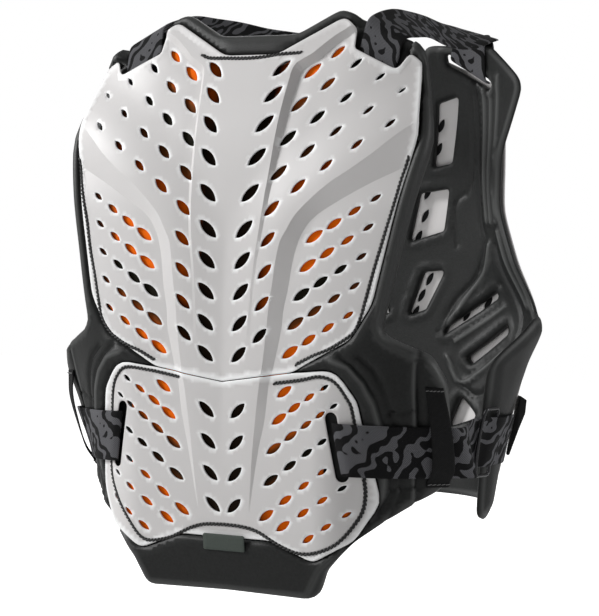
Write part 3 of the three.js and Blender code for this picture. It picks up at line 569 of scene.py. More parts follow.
shellWhite = shellPaint()
foamBlack = foamPaint("foamBlack", (0.0055, 0.0060, 0.0058, 1), (0.017, 0.0178, 0.0174, 1), 0.47)
linerOrange = linerPaint()
webbingBlack = webbingPaint("webbingBlack", (0.003, 0.003, 0.0035, 1), (0.135, 0.135, 0.145, 1), 0.025, 1.0)
webbingPlain = webbingPaint("webbingPlain", (0.006, 0.0062, 0.0065, 1), (0.012, 0.012, 0.0125, 1), 0.09, 0.4)
wireBlack = plainPaint("wireBlack", (0.030, 0.030, 0.032, 1), 0.25, metallic=0.6)
plasticBlack = plainPaint("plasticBlack", (0.005, 0.005, 0.005, 1), 0.5)
threadBlack = plainPaint("threadBlack", (0.006, 0.006, 0.006, 1), 0.6, 2500, 2.5, 0.5)
threadGrey = plainPaint("threadGrey", (0.10, 0.10, 0.10, 1), 0.6, 2500, 2.0, 0.5)
labelCloth = plainPaint("labelCloth", (0.035, 0.045, 0.038, 1), 0.7, 1200, 1.6, 0.3)
print("materials ready")

# Runs of eye-shaped holes on the right half: first and last hole, bow of the middle, lengths, degrees of tilt
upperRuns = [
    {"count": 5, "start": (33, 203), "end": (21, 97.5), "bow": (0, 5.3), "long": (19.5, 21.5), "tilt": 42},
    {"count": 5, "start": (18, 67), "end": (16.5, -38.5), "bow": (0, 0), "long": (21.5, 19.5), "tilt": 42},
    {"count": 5, "start": (60.5, 202.5), "end": (43.8, 84.6), "bow": (-2.5, 1), "long": (18.5, 18.5),
     "tilt": 42},
    {"count": 4, "start": (42.5, 58.6), "end": (37.5, -22), "bow": (0, 0), "long": (18, 18), "tilt": 42},
    {"count": 5, "start": (81.5, 218.4), "end": (68, 103), "bow": (0, 1.5), "long": (15, 17), "tilt": 42},
    {"count": 4, "start": (101, 208), "end": (92.7, 120.4), "bow": (0, 0), "long": (12, 13.5), "tilt": 42},
    {"count": 3, "start": (125, 196.4), "end": (118, 137.7), "bow": (0, 0), "long": (9, 12), "tilt": 42},
    {"count": 2, "start": (146.5, 183.6), "end": (143.7, 154.7), "bow": (0, 0), "long": (7, 10), "tilt": 42},
]
wingRuns = [{"count": 4, "start": (138 - 4.85 * i, 94.5 - 24.2 * i), "end": (84.5 - 4.85 * i, 62 - 24.2 * i),
             "bow": (0, 0), "long": (10.5, 18.5), "tilt": 34} for i in range(5)]
lowerRuns = [
    {"count": 4, "start": (15.5, -86), "end": (10.5, -167), "bow": (0, 0), "long": (19, 18), "tilt": 42},
    {"count": 1, "start": (60, -68), "end": (60, -68), "bow": (0, 0), "long": (17, 17), "tilt": 34},
    {"count": 4, "start": (98, -63), "end": (55, -91), "bow": (0.5, 1), "long": (9, 17), "tilt": 34},
    {"count": 5, "start": (106, -78), "end": (50, -116), "bow": (3, 2.5), "long": (8, 17), "tilt": 34},
    {"count": 4, "start": (96, -108), "end": (47, -143), "bow": (2.5, 2), "long": (10, 17), "tilt": 34},
    {"count": 4, "start": (96, -133), "end": (42, -173), "bow": (1, 1), "long": (10, 17), "tilt": 34},
    {"count": 4, "start": (112, -146), "end": (58, -181), "bow": (2, 1), "long": (8.5, 16), "tilt": 34},
    {"count": 3, "start": (115, -168), "end": (82, -190), "bow": (0, 0), "long": (8.5, 13), "tilt": 34},
]
eyeShape = {"points": 24, "slender": 0.38, "power": 0.80}
lipRows = [(1.15, 0.0), (1.08, 0.10), (1.03, 0.32), (1.01, 0.65), (1.01, 1.0), (1.15, 1.0)]


def holesOf(runs):
    holes = []
    for run in runs:
        for i in range(run["count"]):
            t = i / (run["count"] - 1) if run["count"] > 1 else 0
            x, z, long = (a + (b - a) * t for a, b in zip((*run["start"], run["long"][0]),
                                                          (*run["end"], run["long"][1])))
            bulge = 4 * t * (1 - t)
            for side in (1, -1):
                holes.append((side * (x + bulge * run["bow"][0]), z + bulge * run["bow"][1], long / 2,
                              side * math.radians(run["tilt"])))
    return np.array(holes)


def eyeRing(scale=1.0):
    t = np.linspace(0, 2 * math.pi, eyeShape["points"], endpoint=False)
    across = eyeShape["slender"] * (1 - np.cos(t) ** 2) ** eyeShape["power"] * np.sign(np.sin(t))
    return np.stack([np.cos(t), across], -1) * scale


def eyeRings(holes, scale):
    ring = eyeRing(scale)
    rings = []
    for x, z, half, tilt in holes:
        a, b = ring[:, 0] * half, ring[:, 1] * half
        rings.append(np.stack([x + a * math.cos(tilt) - b * math.sin(tilt),
                               z + a * math.sin(tilt) + b * math.cos(tilt)], -1))
    return rings


def perforateTree():
    tree = bpy.data.node_groups.new("perforate", "GeometryNodeTree")
    groupSocket(tree, "Geometry", "NodeSocketGeometry")
    groupSocket(tree, "Lip", "NodeSocketObject")
    groupSocket(tree, "Material", "NodeSocketMaterial")
    groupSocket(tree, "Size", "NodeSocketFloat", value=1.0)
    groupSocket(tree, "Geometry", "NodeSocketGeometry", out=True)
    source, target = addNode(tree, "NodeGroupInput"), addNode(tree, "NodeGroupOutput")
    lip = addNode(tree, "GeometryNodeObjectInfo")
    half = addNode(tree, "GeometryNodeInputNamedAttribute", data_type="FLOAT")
    half.inputs["Name"].default_value = "half"
    turn = addNode(tree, "GeometryNodeInputNamedAttribute", data_type="FLOAT")
    turn.inputs["Name"].default_value = "turn"
    sized = addNode(tree, "ShaderNodeMath", operation="MULTIPLY")
    scale = addNode(tree, "ShaderNodeCombineXYZ")
    scale.inputs["Y"].default_value = 1.0
    spin = addNode(tree, "ShaderNodeCombineXYZ")
    instances = addNode(tree, "GeometryNodeInstanceOnPoints")
    real = addNode(tree, "GeometryNodeRealizeInstances")
    paint = addNode(tree, "GeometryNodeSetMaterial")
    links = tree.links
    links.new(source.outputs["Lip"], lip.inputs["Object"])
    links.new(half.outputs["Attribute"], sized.inputs[0])
    links.new(source.outputs["Size"], sized.inputs[1])
    links.new(sized.outputs["Value"], scale.inputs["X"])
    links.new(sized.outputs["Value"], scale.inputs["Z"])
    links.new(turn.outputs["Attribute"], spin.inputs["Y"])
    links.new(source.outputs["Geometry"], instances.inputs["Points"])
    links.new(lip.outputs["Geometry"], instances.inputs["Instance"])
    links.new(spin.outputs["Vector"], instances.inputs["Rotation"])
    links.new(scale.outputs["Vector"], instances.inputs["Scale"])
    links.new(instances.outputs["Instances"], real.inputs["Geometry"])
    links.new(real.outputs["Geometry"], paint.inputs["Geometry"])
    links.new(source.outputs["Material"], paint.inputs["Material"])
    links.new(paint.outputs["Geometry"], target.inputs["Geometry"])
    return tree


perforate = perforateTree()


# Lips of the holes as flat points (x, share of the way through, z) with their faces
def lipsOf(holes, rows, material):
    rings = [eyeRing(scale) for scale, _ in rows]
    points = np.vstack([np.stack([ring[:, 0], np.full(len(ring), share), ring[:, 1]], -1)
                        for ring, (_, share) in zip(rings, rows)])
    size = eyeShape["points"]
    faces = [(k * size + i, k * size + (i + 1) % size, (k + 1) * size + (i + 1) % size, (k + 1) * size + i)
             for k in range(len(rows) - 1) for i in range(size)]
    lip = scratchObject("lip", points, faces)
    seats = scratchObject("seats", np.stack([holes[:, 0], 0 * holes[:, 0], holes[:, 1]], -1),
                          attributes={"half": holes[:, 2], "turn": -holes[:, 3]})
    result = runTree(perforate, seats, {"Lip": lip, "Material": material, "Size": 1.0})
    dropObject(lip)
    dropObject(seats)
    return result


def piercedSlab(name, outline, edgeRows, holes, rows, spacing, top, bottom, place, material, creases=(),
                cuts=(), sharp=None, marks=None):
    inward = -outward(outline)
    rims = [[outline + inward * inset for inset, _ in edgeRows]]
    rimShares = [[share for _, share in edgeRows]]
    for cut, cutRows in cuts:
        away = outward(cut)
        rims.append([cut + away * inset for inset, _ in cutRows])
        rimShares.append([share for _, share in cutRows])
    rings = eyeRings(holes, rows[0][0]) if len(holes) else []
    flat, triangles = fillBetween(rims[0][0], [rim[0] for rim in rims[1:]] + rings, spacing, creases)
    points, shares = [flat, flat], [np.zeros(len(flat)), np.ones(len(flat))]
    faces = np.vstack([triangles, triangles[:, ::-1] + len(flat)]).tolist()
    start = 2 * len(flat)
    for loops, lot in zip(rims, rimShares):
        size = len(loops[0])
        points += loops
        shares += [np.full(size, share) for share in lot]
        for k in range(len(loops) - 1):
            a = start + k * size
            faces += [(a + i, a + (i + 1) % size, a + size + (i + 1) % size, a + size + i)
                      for i in range(size)]
        start += size * len(loops)
    if len(holes):
        lipPoints, lipFaces = lipsOf(holes, rows, material)
        points.append(lipPoints[:, [0, 2]])
        shares.append(lipPoints[:, 1])
        faces += [tuple(start + i for i in face) for face in lipFaces]
    points, shares = np.vstack(points), np.concatenate(shares)
    depth = top(points) * (1 - shares) + bottom(points) * shares
    shown = {key: rule(points) for key, rule in (marks or {}).items()}
    piece = makeMesh(name, inPlace(place(points[:, 0], depth, points[:, 1])), faces, material, marks=shown)
    tidyMesh(piece, sharp=sharp)
    return piece


def hand(piece, node=None):
    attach(piece, "root")
    if node:
        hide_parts(node)
    return piece


def stitchTree():
    tree = bpy.data.node_groups.new("stitchRow", "GeometryNodeTree")
    groupSocket(tree, "Geometry", "NodeSocketGeometry")
    groupSocket(tree, "Stitch", "NodeSocketObject")
    groupSocket(tree, "Material", "NodeSocketMaterial")
    groupSocket(tree, "Spacing", "NodeSocketFloat", value=3.4)
    groupSocket(tree, "Geometry", "NodeSocketGeometry", out=True)
    source, target = addNode(tree, "NodeGroupInput"), addNode(tree, "NodeGroupOutput")
    curve = addNode(tree, "GeometryNodeMeshToCurve")
    steps = addNode(tree, "GeometryNodeResampleCurve", mode="LENGTH")
    stitch = addNode(tree, "GeometryNodeObjectInfo")
    heading = addNode(tree, "GeometryNodeInputTangent")
    align = addNode(tree, "FunctionNodeAlignRotationToVector", axis="X")
    instances = addNode(tree, "GeometryNodeInstanceOnPoints")
    real = addNode(tree, "GeometryNodeRealizeInstances")
    paint = addNode(tree, "GeometryNodeSetMaterial")
    links = tree.links
    links.new(source.outputs["Geometry"], curve.inputs["Mesh"])
    links.new(curve.outputs["Curve"], steps.inputs["Curve"])
    links.new(source.outputs["Spacing"], steps.inputs["Length"])
    links.new(source.outputs["Stitch"], stitch.inputs["Object"])
    links.new(heading.outputs["Tangent"], align.inputs["Vector"])
    links.new(steps.outputs["Curve"], instances.inputs["Points"])
    links.new(stitch.outputs["Geometry"], instances.inputs["Instance"])
    links.new(align.outputs["Rotation"], instances.inputs["Rotation"])
    links.new(instances.outputs["Instances"], real.inputs["Geometry"])
    links.new(real.outputs["Geometry"], paint.inputs["Geometry"])
    links.new(source.outputs["Material"], paint.inputs["Material"])
    links.new(paint.outputs["Geometry"], target.inputs["Geometry"])
    return tree


stitchRow = stitchTree()


# One stitch lying along x, slanted a little, as flat points (x, height over the surface, z)
def stitchPoints(length, radius, slant, around=8):
    sections = [(-0.5, 0.25), (-0.42, 0.72), (-0.22, 1.0), (0.22, 1.0), (0.42, 0.72), (0.5, 0.25)]
    turn = np.linspace(0, 2 * math.pi, around, endpoint=False)
    across, up = np.cos(turn), np.sin(turn)
    rings = [np.stack([np.full(around, at * length), radius * share * across, radius * share * up], -1)
             for at, share in sections]
    points = np.vstack(rings)
    points[:, 2] += slant * points[:, 0]
    faces = [(k * around + i, k * around + (i + 1) % around, (k + 1) * around + (i + 1) % around,
              (k + 1) * around + i)
             for k in range(len(sections) - 1) for i in range(around)]
    last = (len(sections) - 1) * around
    return points, [*faces, tuple(range(around)), tuple(range(last + around - 1, last - 1, -1))]


def stitchPiece(name, rows, sizes, top, place, material):
    stitch = scratchObject("stitch", *stitchPoints(sizes["length"], sizes["radius"], sizes["slant"]))
    points, edges = [], []
    for row in rows:
        start = sum(len(lot) for lot in points)
        points.append(np.stack([row[:, 0], 0 * row[:, 0], row[:, 1]], -1))
        edges += [(start + i, start + i + 1) for i in range(len(row) - 1)]
    path = scratchObject("stitchPath", np.vstack(points), edges=edges)
    values = {"Stitch": stitch, "Material": material, "Spacing": sizes["spacing"]}
    lot, faces = runTree(stitchRow, path, values)
    dropObject(path)
    dropObject(stitch)
    depth = top(lot[:, [0, 2]]) - sizes["lift"] - lot[:, 1]
    piece = makeMesh(name, inPlace(place(lot[:, 0], depth, lot[:, 2])), faces, material)
    tidyMesh(piece, merge=1e-7)
    return hand(piece)


# Back shells
shell = {"wall": 2.6, "sheet": 1.2, "spacing": 3.4, "spineChamfer": (5.5, 2.5), "chamferFrom": 30,
         "chamferTo": 210, "valley": 16, "valleyShare": 0.08, "bandDip": 0.12, "stitchDepth": 0.9,
         "stitchHalf": 1.8, "innerFade": 58, "outerFade": 24, "bead": 0.6, "beadWidth": 4.6,
         "edgeHighlightWidth": 3.4, "rimFade": 1.2, "lipHighlight": 0.9, "sharp": 0.11}
shellEdge = [(1.8, 0), (0.8, 0.05), (0.2, 0.25), (0, 0.5), (0.2, 0.8), (0.8, 1), (1.8, 1)]
spineCrest = [(24, -62), (26, -10), (29, 30), (34, 70), (37, 105), (39, 140), (40.5, 166), (42.5, 190),
              (44.5, 204), (51, 210), (60, 215), (69, 223), (80, 232), (88, 237), (98, 246)]
spineDepth = [(-62, 0.1), (30, 0.5), (70, 1.5), (105, 2.7), (140, 4.0), (166, 5.0), (190, 5.6), (213, 6.0),
              (250, 3.6)]
bandInner = [(186, 171), (153, 147), (134, 131), (115, 117), (98, 106), (80, 91), (68, 79), (60, 66),
             (55, 57), (52, 43), (49, 21), (46, 0), (44, -20), (40, -50), (37, -66), (33, -95), (30, -121),
             (25, -172)]
bandOuter = [(188, 133), (147, 114), (125, 103), (100, 89), (83, 78), (74, 67), (69, 56), (65, 40),
             (62, 19), (58, -1), (56, -20), (48, -53), (45, -63), (41, -93), (35, -119), (25.5, -172)]
bandRise = [(-172, 0), (-120, 1.8), (-60, 3.2), (0, 4.5), (50, 5.7), (80, 6.2), (110, 6.4), (147, 6.2)]
neckStitch = [(-48.5, 215.8), (-41.7, 213.4), (-23.2, 212.5), (-2.9, 212.1), (14.8, 213.0), (29.2, 214.9),
              (48, 216)]
leftStitch = [(-164.2, 126.1), (-155.6, 95.4), (-148.7, 73.4), (-142.9, 47.1), (-136.4, 24.5), (-131.2, 3.6),
              (-126.6, -11.5), (-117.6, -23), (-105.9, -30.4), (-94.7, -35.2), (-84.1, -38.8), (-70.6, -45.3)]
rightStitch = [(162.7, 127), (158.4, 110.2), (155, 92.9), (148.7, 69.1), (142.4, 45.6), (137.6, 27.1),
               (133, 8.6), (129, -5.9), (124.8, -15.1), (118.4, -21), (103.1, -30.6), (87.2, -37),
               (72.5, -44.2)]
lowerStitch = [(-44.8, -59.5), (-73.5, -55.1), (-97.8, -53.5), (-108.3, -60.1), (-115, -74.4),
               (-118.6, -109.7), (-121.8, -145.2), (-112.1, -168), (-96.4, -188.4), (-85.6, -199.8),
               (-75.4, -202.5), (-54.6, -198.4), (-31.8, -188), (-11.5, -183.9), (26.3, -185.4),
               (55.3, -197.7), (74.5, -203), (93.4, -199.8), (109.9, -189.8), (124, -170.1), (128, -155.1),
               (127.5, -135.9), (121.5, -84.4), (117.5, -72.1), (107.7, -58.5), (94.4, -54.1),
               (75.6, -57.7), (51.5, -61.2)]


def valueAt(rows, z):
    at, value = zip(*rows)
    return np.interp(z, at, value)


def smoothLine(line, step):
    line = np.asarray(line, float)
    padded = np.vstack([2 * line[0] - line[1], line, 2 * line[-1] - line[-2]])
    points = []
    for i in range(1, len(padded) - 2):
        a, b, c, d = padded[i - 1:i + 3]
        for t in np.linspace(0, 1, 8, endpoint=False):
            third = 3 * b - a - 3 * c + d
            points.append(0.5 * (2 * b + (c - a) * t + (2 * a - 5 * b + 4 * c - d) * t * t + third * t ** 3))
    points.append(line[-1])
    return evenly(np.array(points), step, closed=False)


crestLine = smoothLine(spineCrest, 4)
crestLoop = np.vstack([crestLine, [(98, 280), (-98, 280)], mirroredLine(crestLine)[::-1]])
innerLine, outerLine = smoothLine(bandInner, 4), smoothLine(bandOuter, 4)
bandLoop = np.vstack([innerLine[::-1], outerLine])
stitchRows = [smoothLine(line, 2.0) for line in (neckStitch, leftStitch, rightStitch, lowerStitch)]


def chamferWidth(z):
    return np.interp(z, [shell["chamferFrom"], shell["chamferTo"]], shell["spineChamfer"][::-1])


def spineRelief(points):
    mirrored = onRightHalf(points)
    away = distanceTo(mirrored, crestLine, False) * np.where(insideOf(points, crestLoop), -1, 1)
    deep = valueAt(spineDepth, points[:, 1])
    chamfer = chamferWidth(points[:, 1])
    ramp = 1 - shell["valleyShare"] - np.clip(away / chamfer, 0, 1)
    back = shell["valleyShare"] * ease((away - chamfer) / shell["valley"])
    return deep * (ramp + np.where(away > chamfer, back, 0))


def bandRelief(points):
    mirrored = onRightHalf(points)
    toInner, toOuter = distanceTo(mirrored, innerLine, False), distanceTo(mirrored, outerLine, False)
    within = insideOf(mirrored, bandLoop)
    rise = valueAt(bandRise, points[:, 1])
    dip = shell["bandDip"]
    step = toOuter / np.maximum(toInner + toOuter, 1e-6) - dip
    near = np.minimum(toInner, toOuter)
    outside = np.where(toInner < toOuter, (1 - dip) * (1 - ease(near / shell["innerFade"])),
                       -dip * (1 - ease(near / shell["outerFade"])))
    return rise * np.where(within, step, outside)


def stitchGroove(points):
    deepest = np.zeros(len(points))
    for row in stitchRows:
        low, high = row.min(0) - 4, row.max(0) + 4
        near = np.all((points > low) & (points < high), axis=1)
        if near.any():
            away = distanceTo(points[near], row, False)
            groove = shell["stitchDepth"] * (1 - ease(away / shell["stitchHalf"]))
            deepest[near] = np.maximum(deepest[near], groove)
    return deepest


def fromShellEdge(points):
    return np.minimum(distanceTo(points, upperOutline), distanceTo(points, lowerOutline))


def edgeBead(points):
    near = fromShellEdge(points)
    return shell["bead"] * (1 - ease((near - shell["beadWidth"] + 1.5) / 1.5))


# Painted highlight along the shells' edges, weaker at the neck, and round the lips of the holes
def edgeHighlightMark(points):
    bright = np.where(points[:, 1] < 205, 1, 0.4)
    bright = bright * (1 - ease((fromShellEdge(points) - shell["edgeHighlightWidth"]) / shell["rimFade"]))
    for x, z, half, tilt in np.vstack([upperHoles, lowerHoles]):
        at = np.flatnonzero(np.abs(points[:, 0] - x) + np.abs(points[:, 1] - z) < 3 * half)
        off = points[at] - [x, z]
        along = (off[:, 0] * math.cos(tilt) + off[:, 1] * math.sin(tilt)) / half
        over = (off[:, 1] * math.cos(tilt) - off[:, 0] * math.sin(tilt)) / half / eyeShape["slender"]
        ring = np.hypot(along, over)
        bright[at] = np.maximum(bright[at], shell["lipHighlight"] * (1 - ease((ring - 1.10) / 0.10)))
    return bright


def shellTop(points):
    return -(spineRelief(points) + bandRelief(points) + edgeBead(points)) + stitchGroove(points)


def shellBottom(points):
    return np.minimum(shellTop(points) + shell["sheet"], shell["wall"])


def besideLine(line, by):
    along = np.gradient(line, axis=0)
    normal = np.stack([along[:, 1], -along[:, 0]], -1)
    return line + normal / np.linalg.norm(normal, axis=1, keepdims=True) * by


def stitchCreases(rows):
    return [besideLine(row, by) for row in rows for by in (-shell["stitchHalf"], 0, shell["stitchHalf"])]


def capsule(start, end, width, step=1.0):
    a, b = np.array(start, float), np.array(end, float)
    heading = math.atan2(b[1] - a[1], b[0] - a[0])
    arcs = [(b, heading - math.pi / 2), (a, heading + math.pi / 2)]
    points = [centre + width / 2 * np.array([math.cos(begin + t), math.sin(begin + t)])
              for centre, begin in arcs for t in np.linspace(0, math.pi, 9)]
    return evenly(np.array(points), step)


upperOutline, lowerOutline = outlineOf(upperShellRim, 2.2), outlineOf(lowerShellRim, 2.2)
sideSlot = {"top": (103.6, -88), "foot": (112.2, -136), "width": 10}
slotLoop = capsule(sideSlot["top"], sideSlot["foot"], sideSlot["width"], 1.6)
slotEdge = [(1.6, 0), (0.7, 0.05), (0.2, 0.25), (0, 0.5), (0.2, 0.8), (0.7, 1), (1.6, 1)]
bandCreases = [line for base in (innerLine, outerLine) for line in (base, mirroredLine(base))]
chamferFoot = besideLine(crestLine, chamferWidth(crestLine[:, 1])[:, None])
crestCreases = [line for base in (crestLine, chamferFoot) for line in (base, mirroredLine(base))]

upperHoles, lowerHoles = holesOf(upperRuns + wingRuns), holesOf(lowerRuns)
upperCreases = crestCreases + bandCreases + stitchCreases(stitchRows[:3])
lowerCreases = bandCreases + stitchCreases(stitchRows[3:])
strapCuts = [(slotLoop, slotEdge), (mirroredLine(slotLoop)[::-1], slotEdge)]
backShellUpper = piercedSlab("backShellUpper", upperOutline, shellEdge, upperHoles, lipRows, shell["spacing"],
                             shellTop, shellBottom, onBack, shellWhite, upperCreases,
                             sharp=shell["sharp"], marks={"rim": edgeHighlightMark})
hand(backShellUpper, "back_shell_upper")
backShellLower = piercedSlab("backShellLower", lowerOutline, shellEdge, lowerHoles, lipRows, shell["spacing"],
                             shellTop, shellBottom, onBack, shellWhite, lowerCreases, strapCuts,
                             sharp=shell["sharp"], marks={"rim": edgeHighlightMark})
hand(backShellLower, "back_shell_lower")
shellStitch = {"length": 4.6, "radius": 1.15, "slant": 0.34, "spacing": 3.5, "lift": 0.3}
stitchPiece("shellStitches", stitchRows, shellStitch, shellTop, onBack, threadBlack)
print("back shells", len(backShellUpper.data.polygons), len(backShellLower.data.polygons))

# Liner behind the shells
liner = {"near": 3.0, "far": 6.4, "spacing": 9}
linerEdge = [(2, 0), (0.5, 0.15), (0, 0.5), (0.5, 0.85), (2, 1)]
backLiner = piercedSlab("backLiner", outlineOf(linerRim, 4), linerEdge, (), lipRows, liner["spacing"],
                        lambda p: np.full(len(p), liner["near"]), lambda p: np.full(len(p), liner["far"]),
                        onBack, linerOrange)
hand(backLiner, "back_liner")

# Back pad: a rounded foam rim round the shells, with moulded wings
pad = {"face": 6.8, "back": 19.8, "rim": 1.5, "bulge": 1.8, "spacing": 3.6, "wallIn": 0.7, "wallOut": 1.5,
       "rollOver": 7, "lineMargin": 8, "rimHighlight": 0.5, "rimHighlightAt": 4.5, "rimHighlightHalf": 2.2, "lineHighlight": 0.6}
padEdge = [(6, 0), (3.5, 0.05), (1.5, 0.18), (0.4, 0.36), (0, 0.55), (0.5, 0.75), (2, 0.92), (5, 1), (6, 1)]
strapChannel = evenly(np.array([(92.5, 200.5), (92, 262), (148, 262), (143.5, 200.5)]), 4)
padGrooves = [
    {"line": [(176, -30), (173, -44), (169, -71), (164, -104), (160, -138), (158, -176)], "width": 2.2,
     "depth": 3.4},
    {"line": [(128, -36), (139, -46), (145, -60), (149, -82), (151, -120), (150, -150), (142, -174),
              (127, -194)],
     "width": 1.7, "depth": 2.8},
    {"line": [(145, -83), (154, -81), (163, -79)], "width": 1.4, "depth": 1.5},
    {"line": [(143, -146), (150, -145), (158, -144)], "width": 1.4, "depth": 1.5},
    {"line": [(112, -35), (124, -45), (133, -56), (140, -70), (143, -90), (145, -120), (144, -148),
              (136, -170), (122, -189)],
     "width": 1.5, "depth": 2.2},
]
padRidges = [
    {"line": [(171, -30), (167, -54), (164, -79), (161, -104), (157, -138), (155, -174)], "width": 1.8,
     "rise": 1.3},
    {"line": [(104, -40), (119, -45), (130, -58), (137, -76), (140, -95), (141, -130), (139, -152),
              (130, -172), (114, -192)],
     "width": 3.0, "rise": 1.1},
    {"line": [(146, -20), (161, -26), (176, -33), (185, -43), (187, -62), (180, -104), (175, -138),
              (160, -168)],
     "width": 3.4, "rise": 1.2},
]


def padTop(points):
    away = np.minimum(awayFrom(points, upperOutline), awayFrom(points, lowerOutline))
    away = np.minimum(away, awayFrom(onRightHalf(points), strapChannel))
    wall = np.clip((away - pad["wallIn"]) / (pad["wallOut"] - pad["wallIn"]), 0, 1)
    rise = pad["rim"] + pad["bulge"] * ease((away - pad["wallOut"]) / pad["rollOver"])
    mirrored = onRightHalf(points)
    for ridge in padRidges:
        rise = rise + grooveAlong(mirrored, ridge["line"], ridge["width"], ridge["rise"])
    for groove in padGrooves:
        rise = rise - grooveAlong(mirrored, groove["line"], groove["width"], groove["depth"])
    return pad["face"] * (1 - wall) - rise * wall


# Painted highlight on the foam: lighter along its ridges and its rim, taken back in the grooves
def padHighlight(points):
    mirrored = onRightHalf(points)
    away = distanceTo(points, padOutline)
    wear = pad["rimHighlight"] * np.exp(-((away - pad["rimHighlightAt"]) / pad["rimHighlightHalf"]) ** 2)
    for ridge in padRidges:
        wear = np.maximum(wear, grooveAlong(mirrored, ridge["line"], 0.7 * ridge["width"], pad["lineHighlight"]))
    for groove in padGrooves:
        wear = wear - grooveAlong(mirrored, groove["line"], groove["width"], pad["lineHighlight"])
    return np.clip(wear, 0, 1)


# The stretch of each line, and of its mirror image, that keeps clear of an outline and of the openings
def clearStretches(rows, outline, margin, openings=()):
    stretches = []
    middles = [(evenly(np.asarray(row["line"], float), 2.6, closed=False), row["width"]) for row in rows]
    lines = [besideLine(middle, by * width) for middle, width in middles for by in (-1.1, 0, 1.1)]
    for line in lines:
        clear = insideOf(line, outline) & (distanceTo(line, outline) > margin)
        for loop in openings:
            clear &= ~insideOf(line, loop) & (distanceTo(line, loop) > 4.5)
        kept = np.flatnonzero(clear)
        if len(kept) > 2:
            parts = np.split(kept, np.flatnonzero(np.diff(kept) > 1) + 1)
            best = line[max(parts, key=len)]
            if len(best) > 2:
                stretches += [best, mirroredLine(best)[::-1]]
    return stretches


def grownBy(outline, by):
    return outline + outward(outline) * by


padOutline = outlineOf(backPadRim, 3.6)
shellRooms = [np.vstack([grownBy(loop, by), grownBy(loop, by)[:1]])
              for loop in (upperOutline[::2], lowerOutline[::2]) for by in (pad["wallIn"], pad["wallOut"])]
padLines = clearStretches(padGrooves + padRidges, padOutline, pad["lineMargin"])
backPad = piercedSlab("backPad", padOutline, padEdge, (), lipRows, pad["spacing"], padTop,
                      lambda p: np.full(len(p), pad["back"]), onBack, foamBlack,
                      [*shellRooms, *padLines], marks={"ridge": padHighlight})
hand(backPad, "back_pad")
print("back pad", len(backPad.data.polygons))

# Chest pad and its shell; s runs round the body, w outwards from the pad's inner face
chest = {"foam": 9, "shellNear": 9.4, "shellFar": 12.0, "spacing": 3.8, "windowCorner": 3,
         "reliefGain": 1.7, "rimHighlight": 0.45, "rimHighlightAt": 3.5, "rimHighlightHalf": 2.0, "lineHighlight": 0.62,
         "frameRise": 1.8, "frameAway": 5, "frameHalf": 2.0, "rimThinner": 3.4, "rimFade": 16,
         "lineMargin": 9}
chestLobe = {"s": 205, "z": -40, "half": 34, "tall": 60, "rise": 0.9}
chestWindows = [
    [(35, 133.4), (55, 137.8), (69, 199.4), (46, 192.8)], [(8, 63), (45, 74), (51, 113.6), (19, 109.2)],
    [(9, -7.4), (28, -0.8), (47, 36.6), (24, 34.4)], [(48, -25), (53, -16.2), (104, 19), (107, 12.4)],
    [(74, -44.8), (80, -51.4), (123, -20.6), (120, -11.8)], [(58, -110.8), (93, -99.8), (70, -80.9)],
]
chestSlot = [(62.4, 239), (110.4, 210.4), (107.2, 202.9), (62.4, 228)]
# Channels and ribs pressed into the chest pad's inner face; rise counts towards the wearer
chestRelief = [
    {"line": [(98, 84), (94, 130), (100, 205)], "width": 2.6, "rise": 1.8},
    {"line": [(105, 82), (101, 130), (109, 212)], "width": 2.4, "rise": 1.8},
    {"line": [(112, 84), (108, 130), (119, 215)], "width": 2.4, "rise": 1.6},
    {"line": [(90, 212), (86, 130), (88, 84), (92, 62), (80, 30), (58, 6), (44, -22)], "width": 1.5,
     "rise": -1.6},
    {"line": [(100, 62), (92, 36), (72, 12), (54, -14)], "width": 2.2, "rise": 1.6},
    {"line": [(116, 74), (128, 48), (146, 20), (158, 4)], "width": 2.4, "rise": 1.6},
    {"line": [(108, 60), (118, 36), (134, 12), (144, -8), (140, -34)], "width": 1.8, "rise": -1.6},
    {"line": [(66, -6), (88, 8), (112, 26)], "width": 1.6, "rise": -1.2},
    {"line": [(62, -30), (84, -16), (116, 4)], "width": 1.8, "rise": 1.2},
    {"line": [(54, -44), (70, -68), (92, -58), (118, -40)], "width": 1.8, "rise": 1.4},
    {"line": [(112, -66), (92, -80), (72, -72)], "width": 1.6, "rise": -1.4},
    {"line": [(60, 60), (58, 100), (76, 120), (84, 200)], "width": 1.8, "rise": -1.2},
    {"line": [(146, -34), (138, -60), (134, -96), (132, -130), (134, -168)], "width": 2.4, "rise": 2.0},
    {"line": [(154, -34), (146, -60), (142, -96), (140, -130), (142, -172)], "width": 2.0, "rise": -1.8},
]
foamEdge = [(7, 0), (4, 0.04), (1.8, 0.16), (0.5, 0.34), (0, 0.5), (0.5, 0.66), (1.8, 0.84), (4, 0.96),
            (7, 1)]
windowEdge = [(3, 0), (1.2, 0.05), (0.3, 0.2), (0, 0.5), (0.3, 0.8), (1.2, 0.95), (3, 1)]


def roundedLoop(corners, radius, step=2.2):
    return evenly(roundedLine([(*corner, radius) for corner in corners], True), step)


windowLoops = [roundedLoop(loop, chest["windowCorner"]) for corners in [*chestWindows, chestSlot]
               for loop in (corners, mirroredLine(corners)[::-1])]


def chestTop(points):
    mirrored = onRightHalf(points)
    rise = np.zeros(len(points))
    for row in chestRelief:
        deep = chest["reliefGain"] * row["rise"]
        rise += grooveAlong(mirrored, smoothLine(row["line"], 5), row["width"], deep)
    for loop in windowLoops[::2]:
        off = (distanceTo(mirrored, loop) - chest["frameAway"]) / chest["frameHalf"]
        rise += chest["frameRise"] * np.exp(-off ** 2)
    return -rise


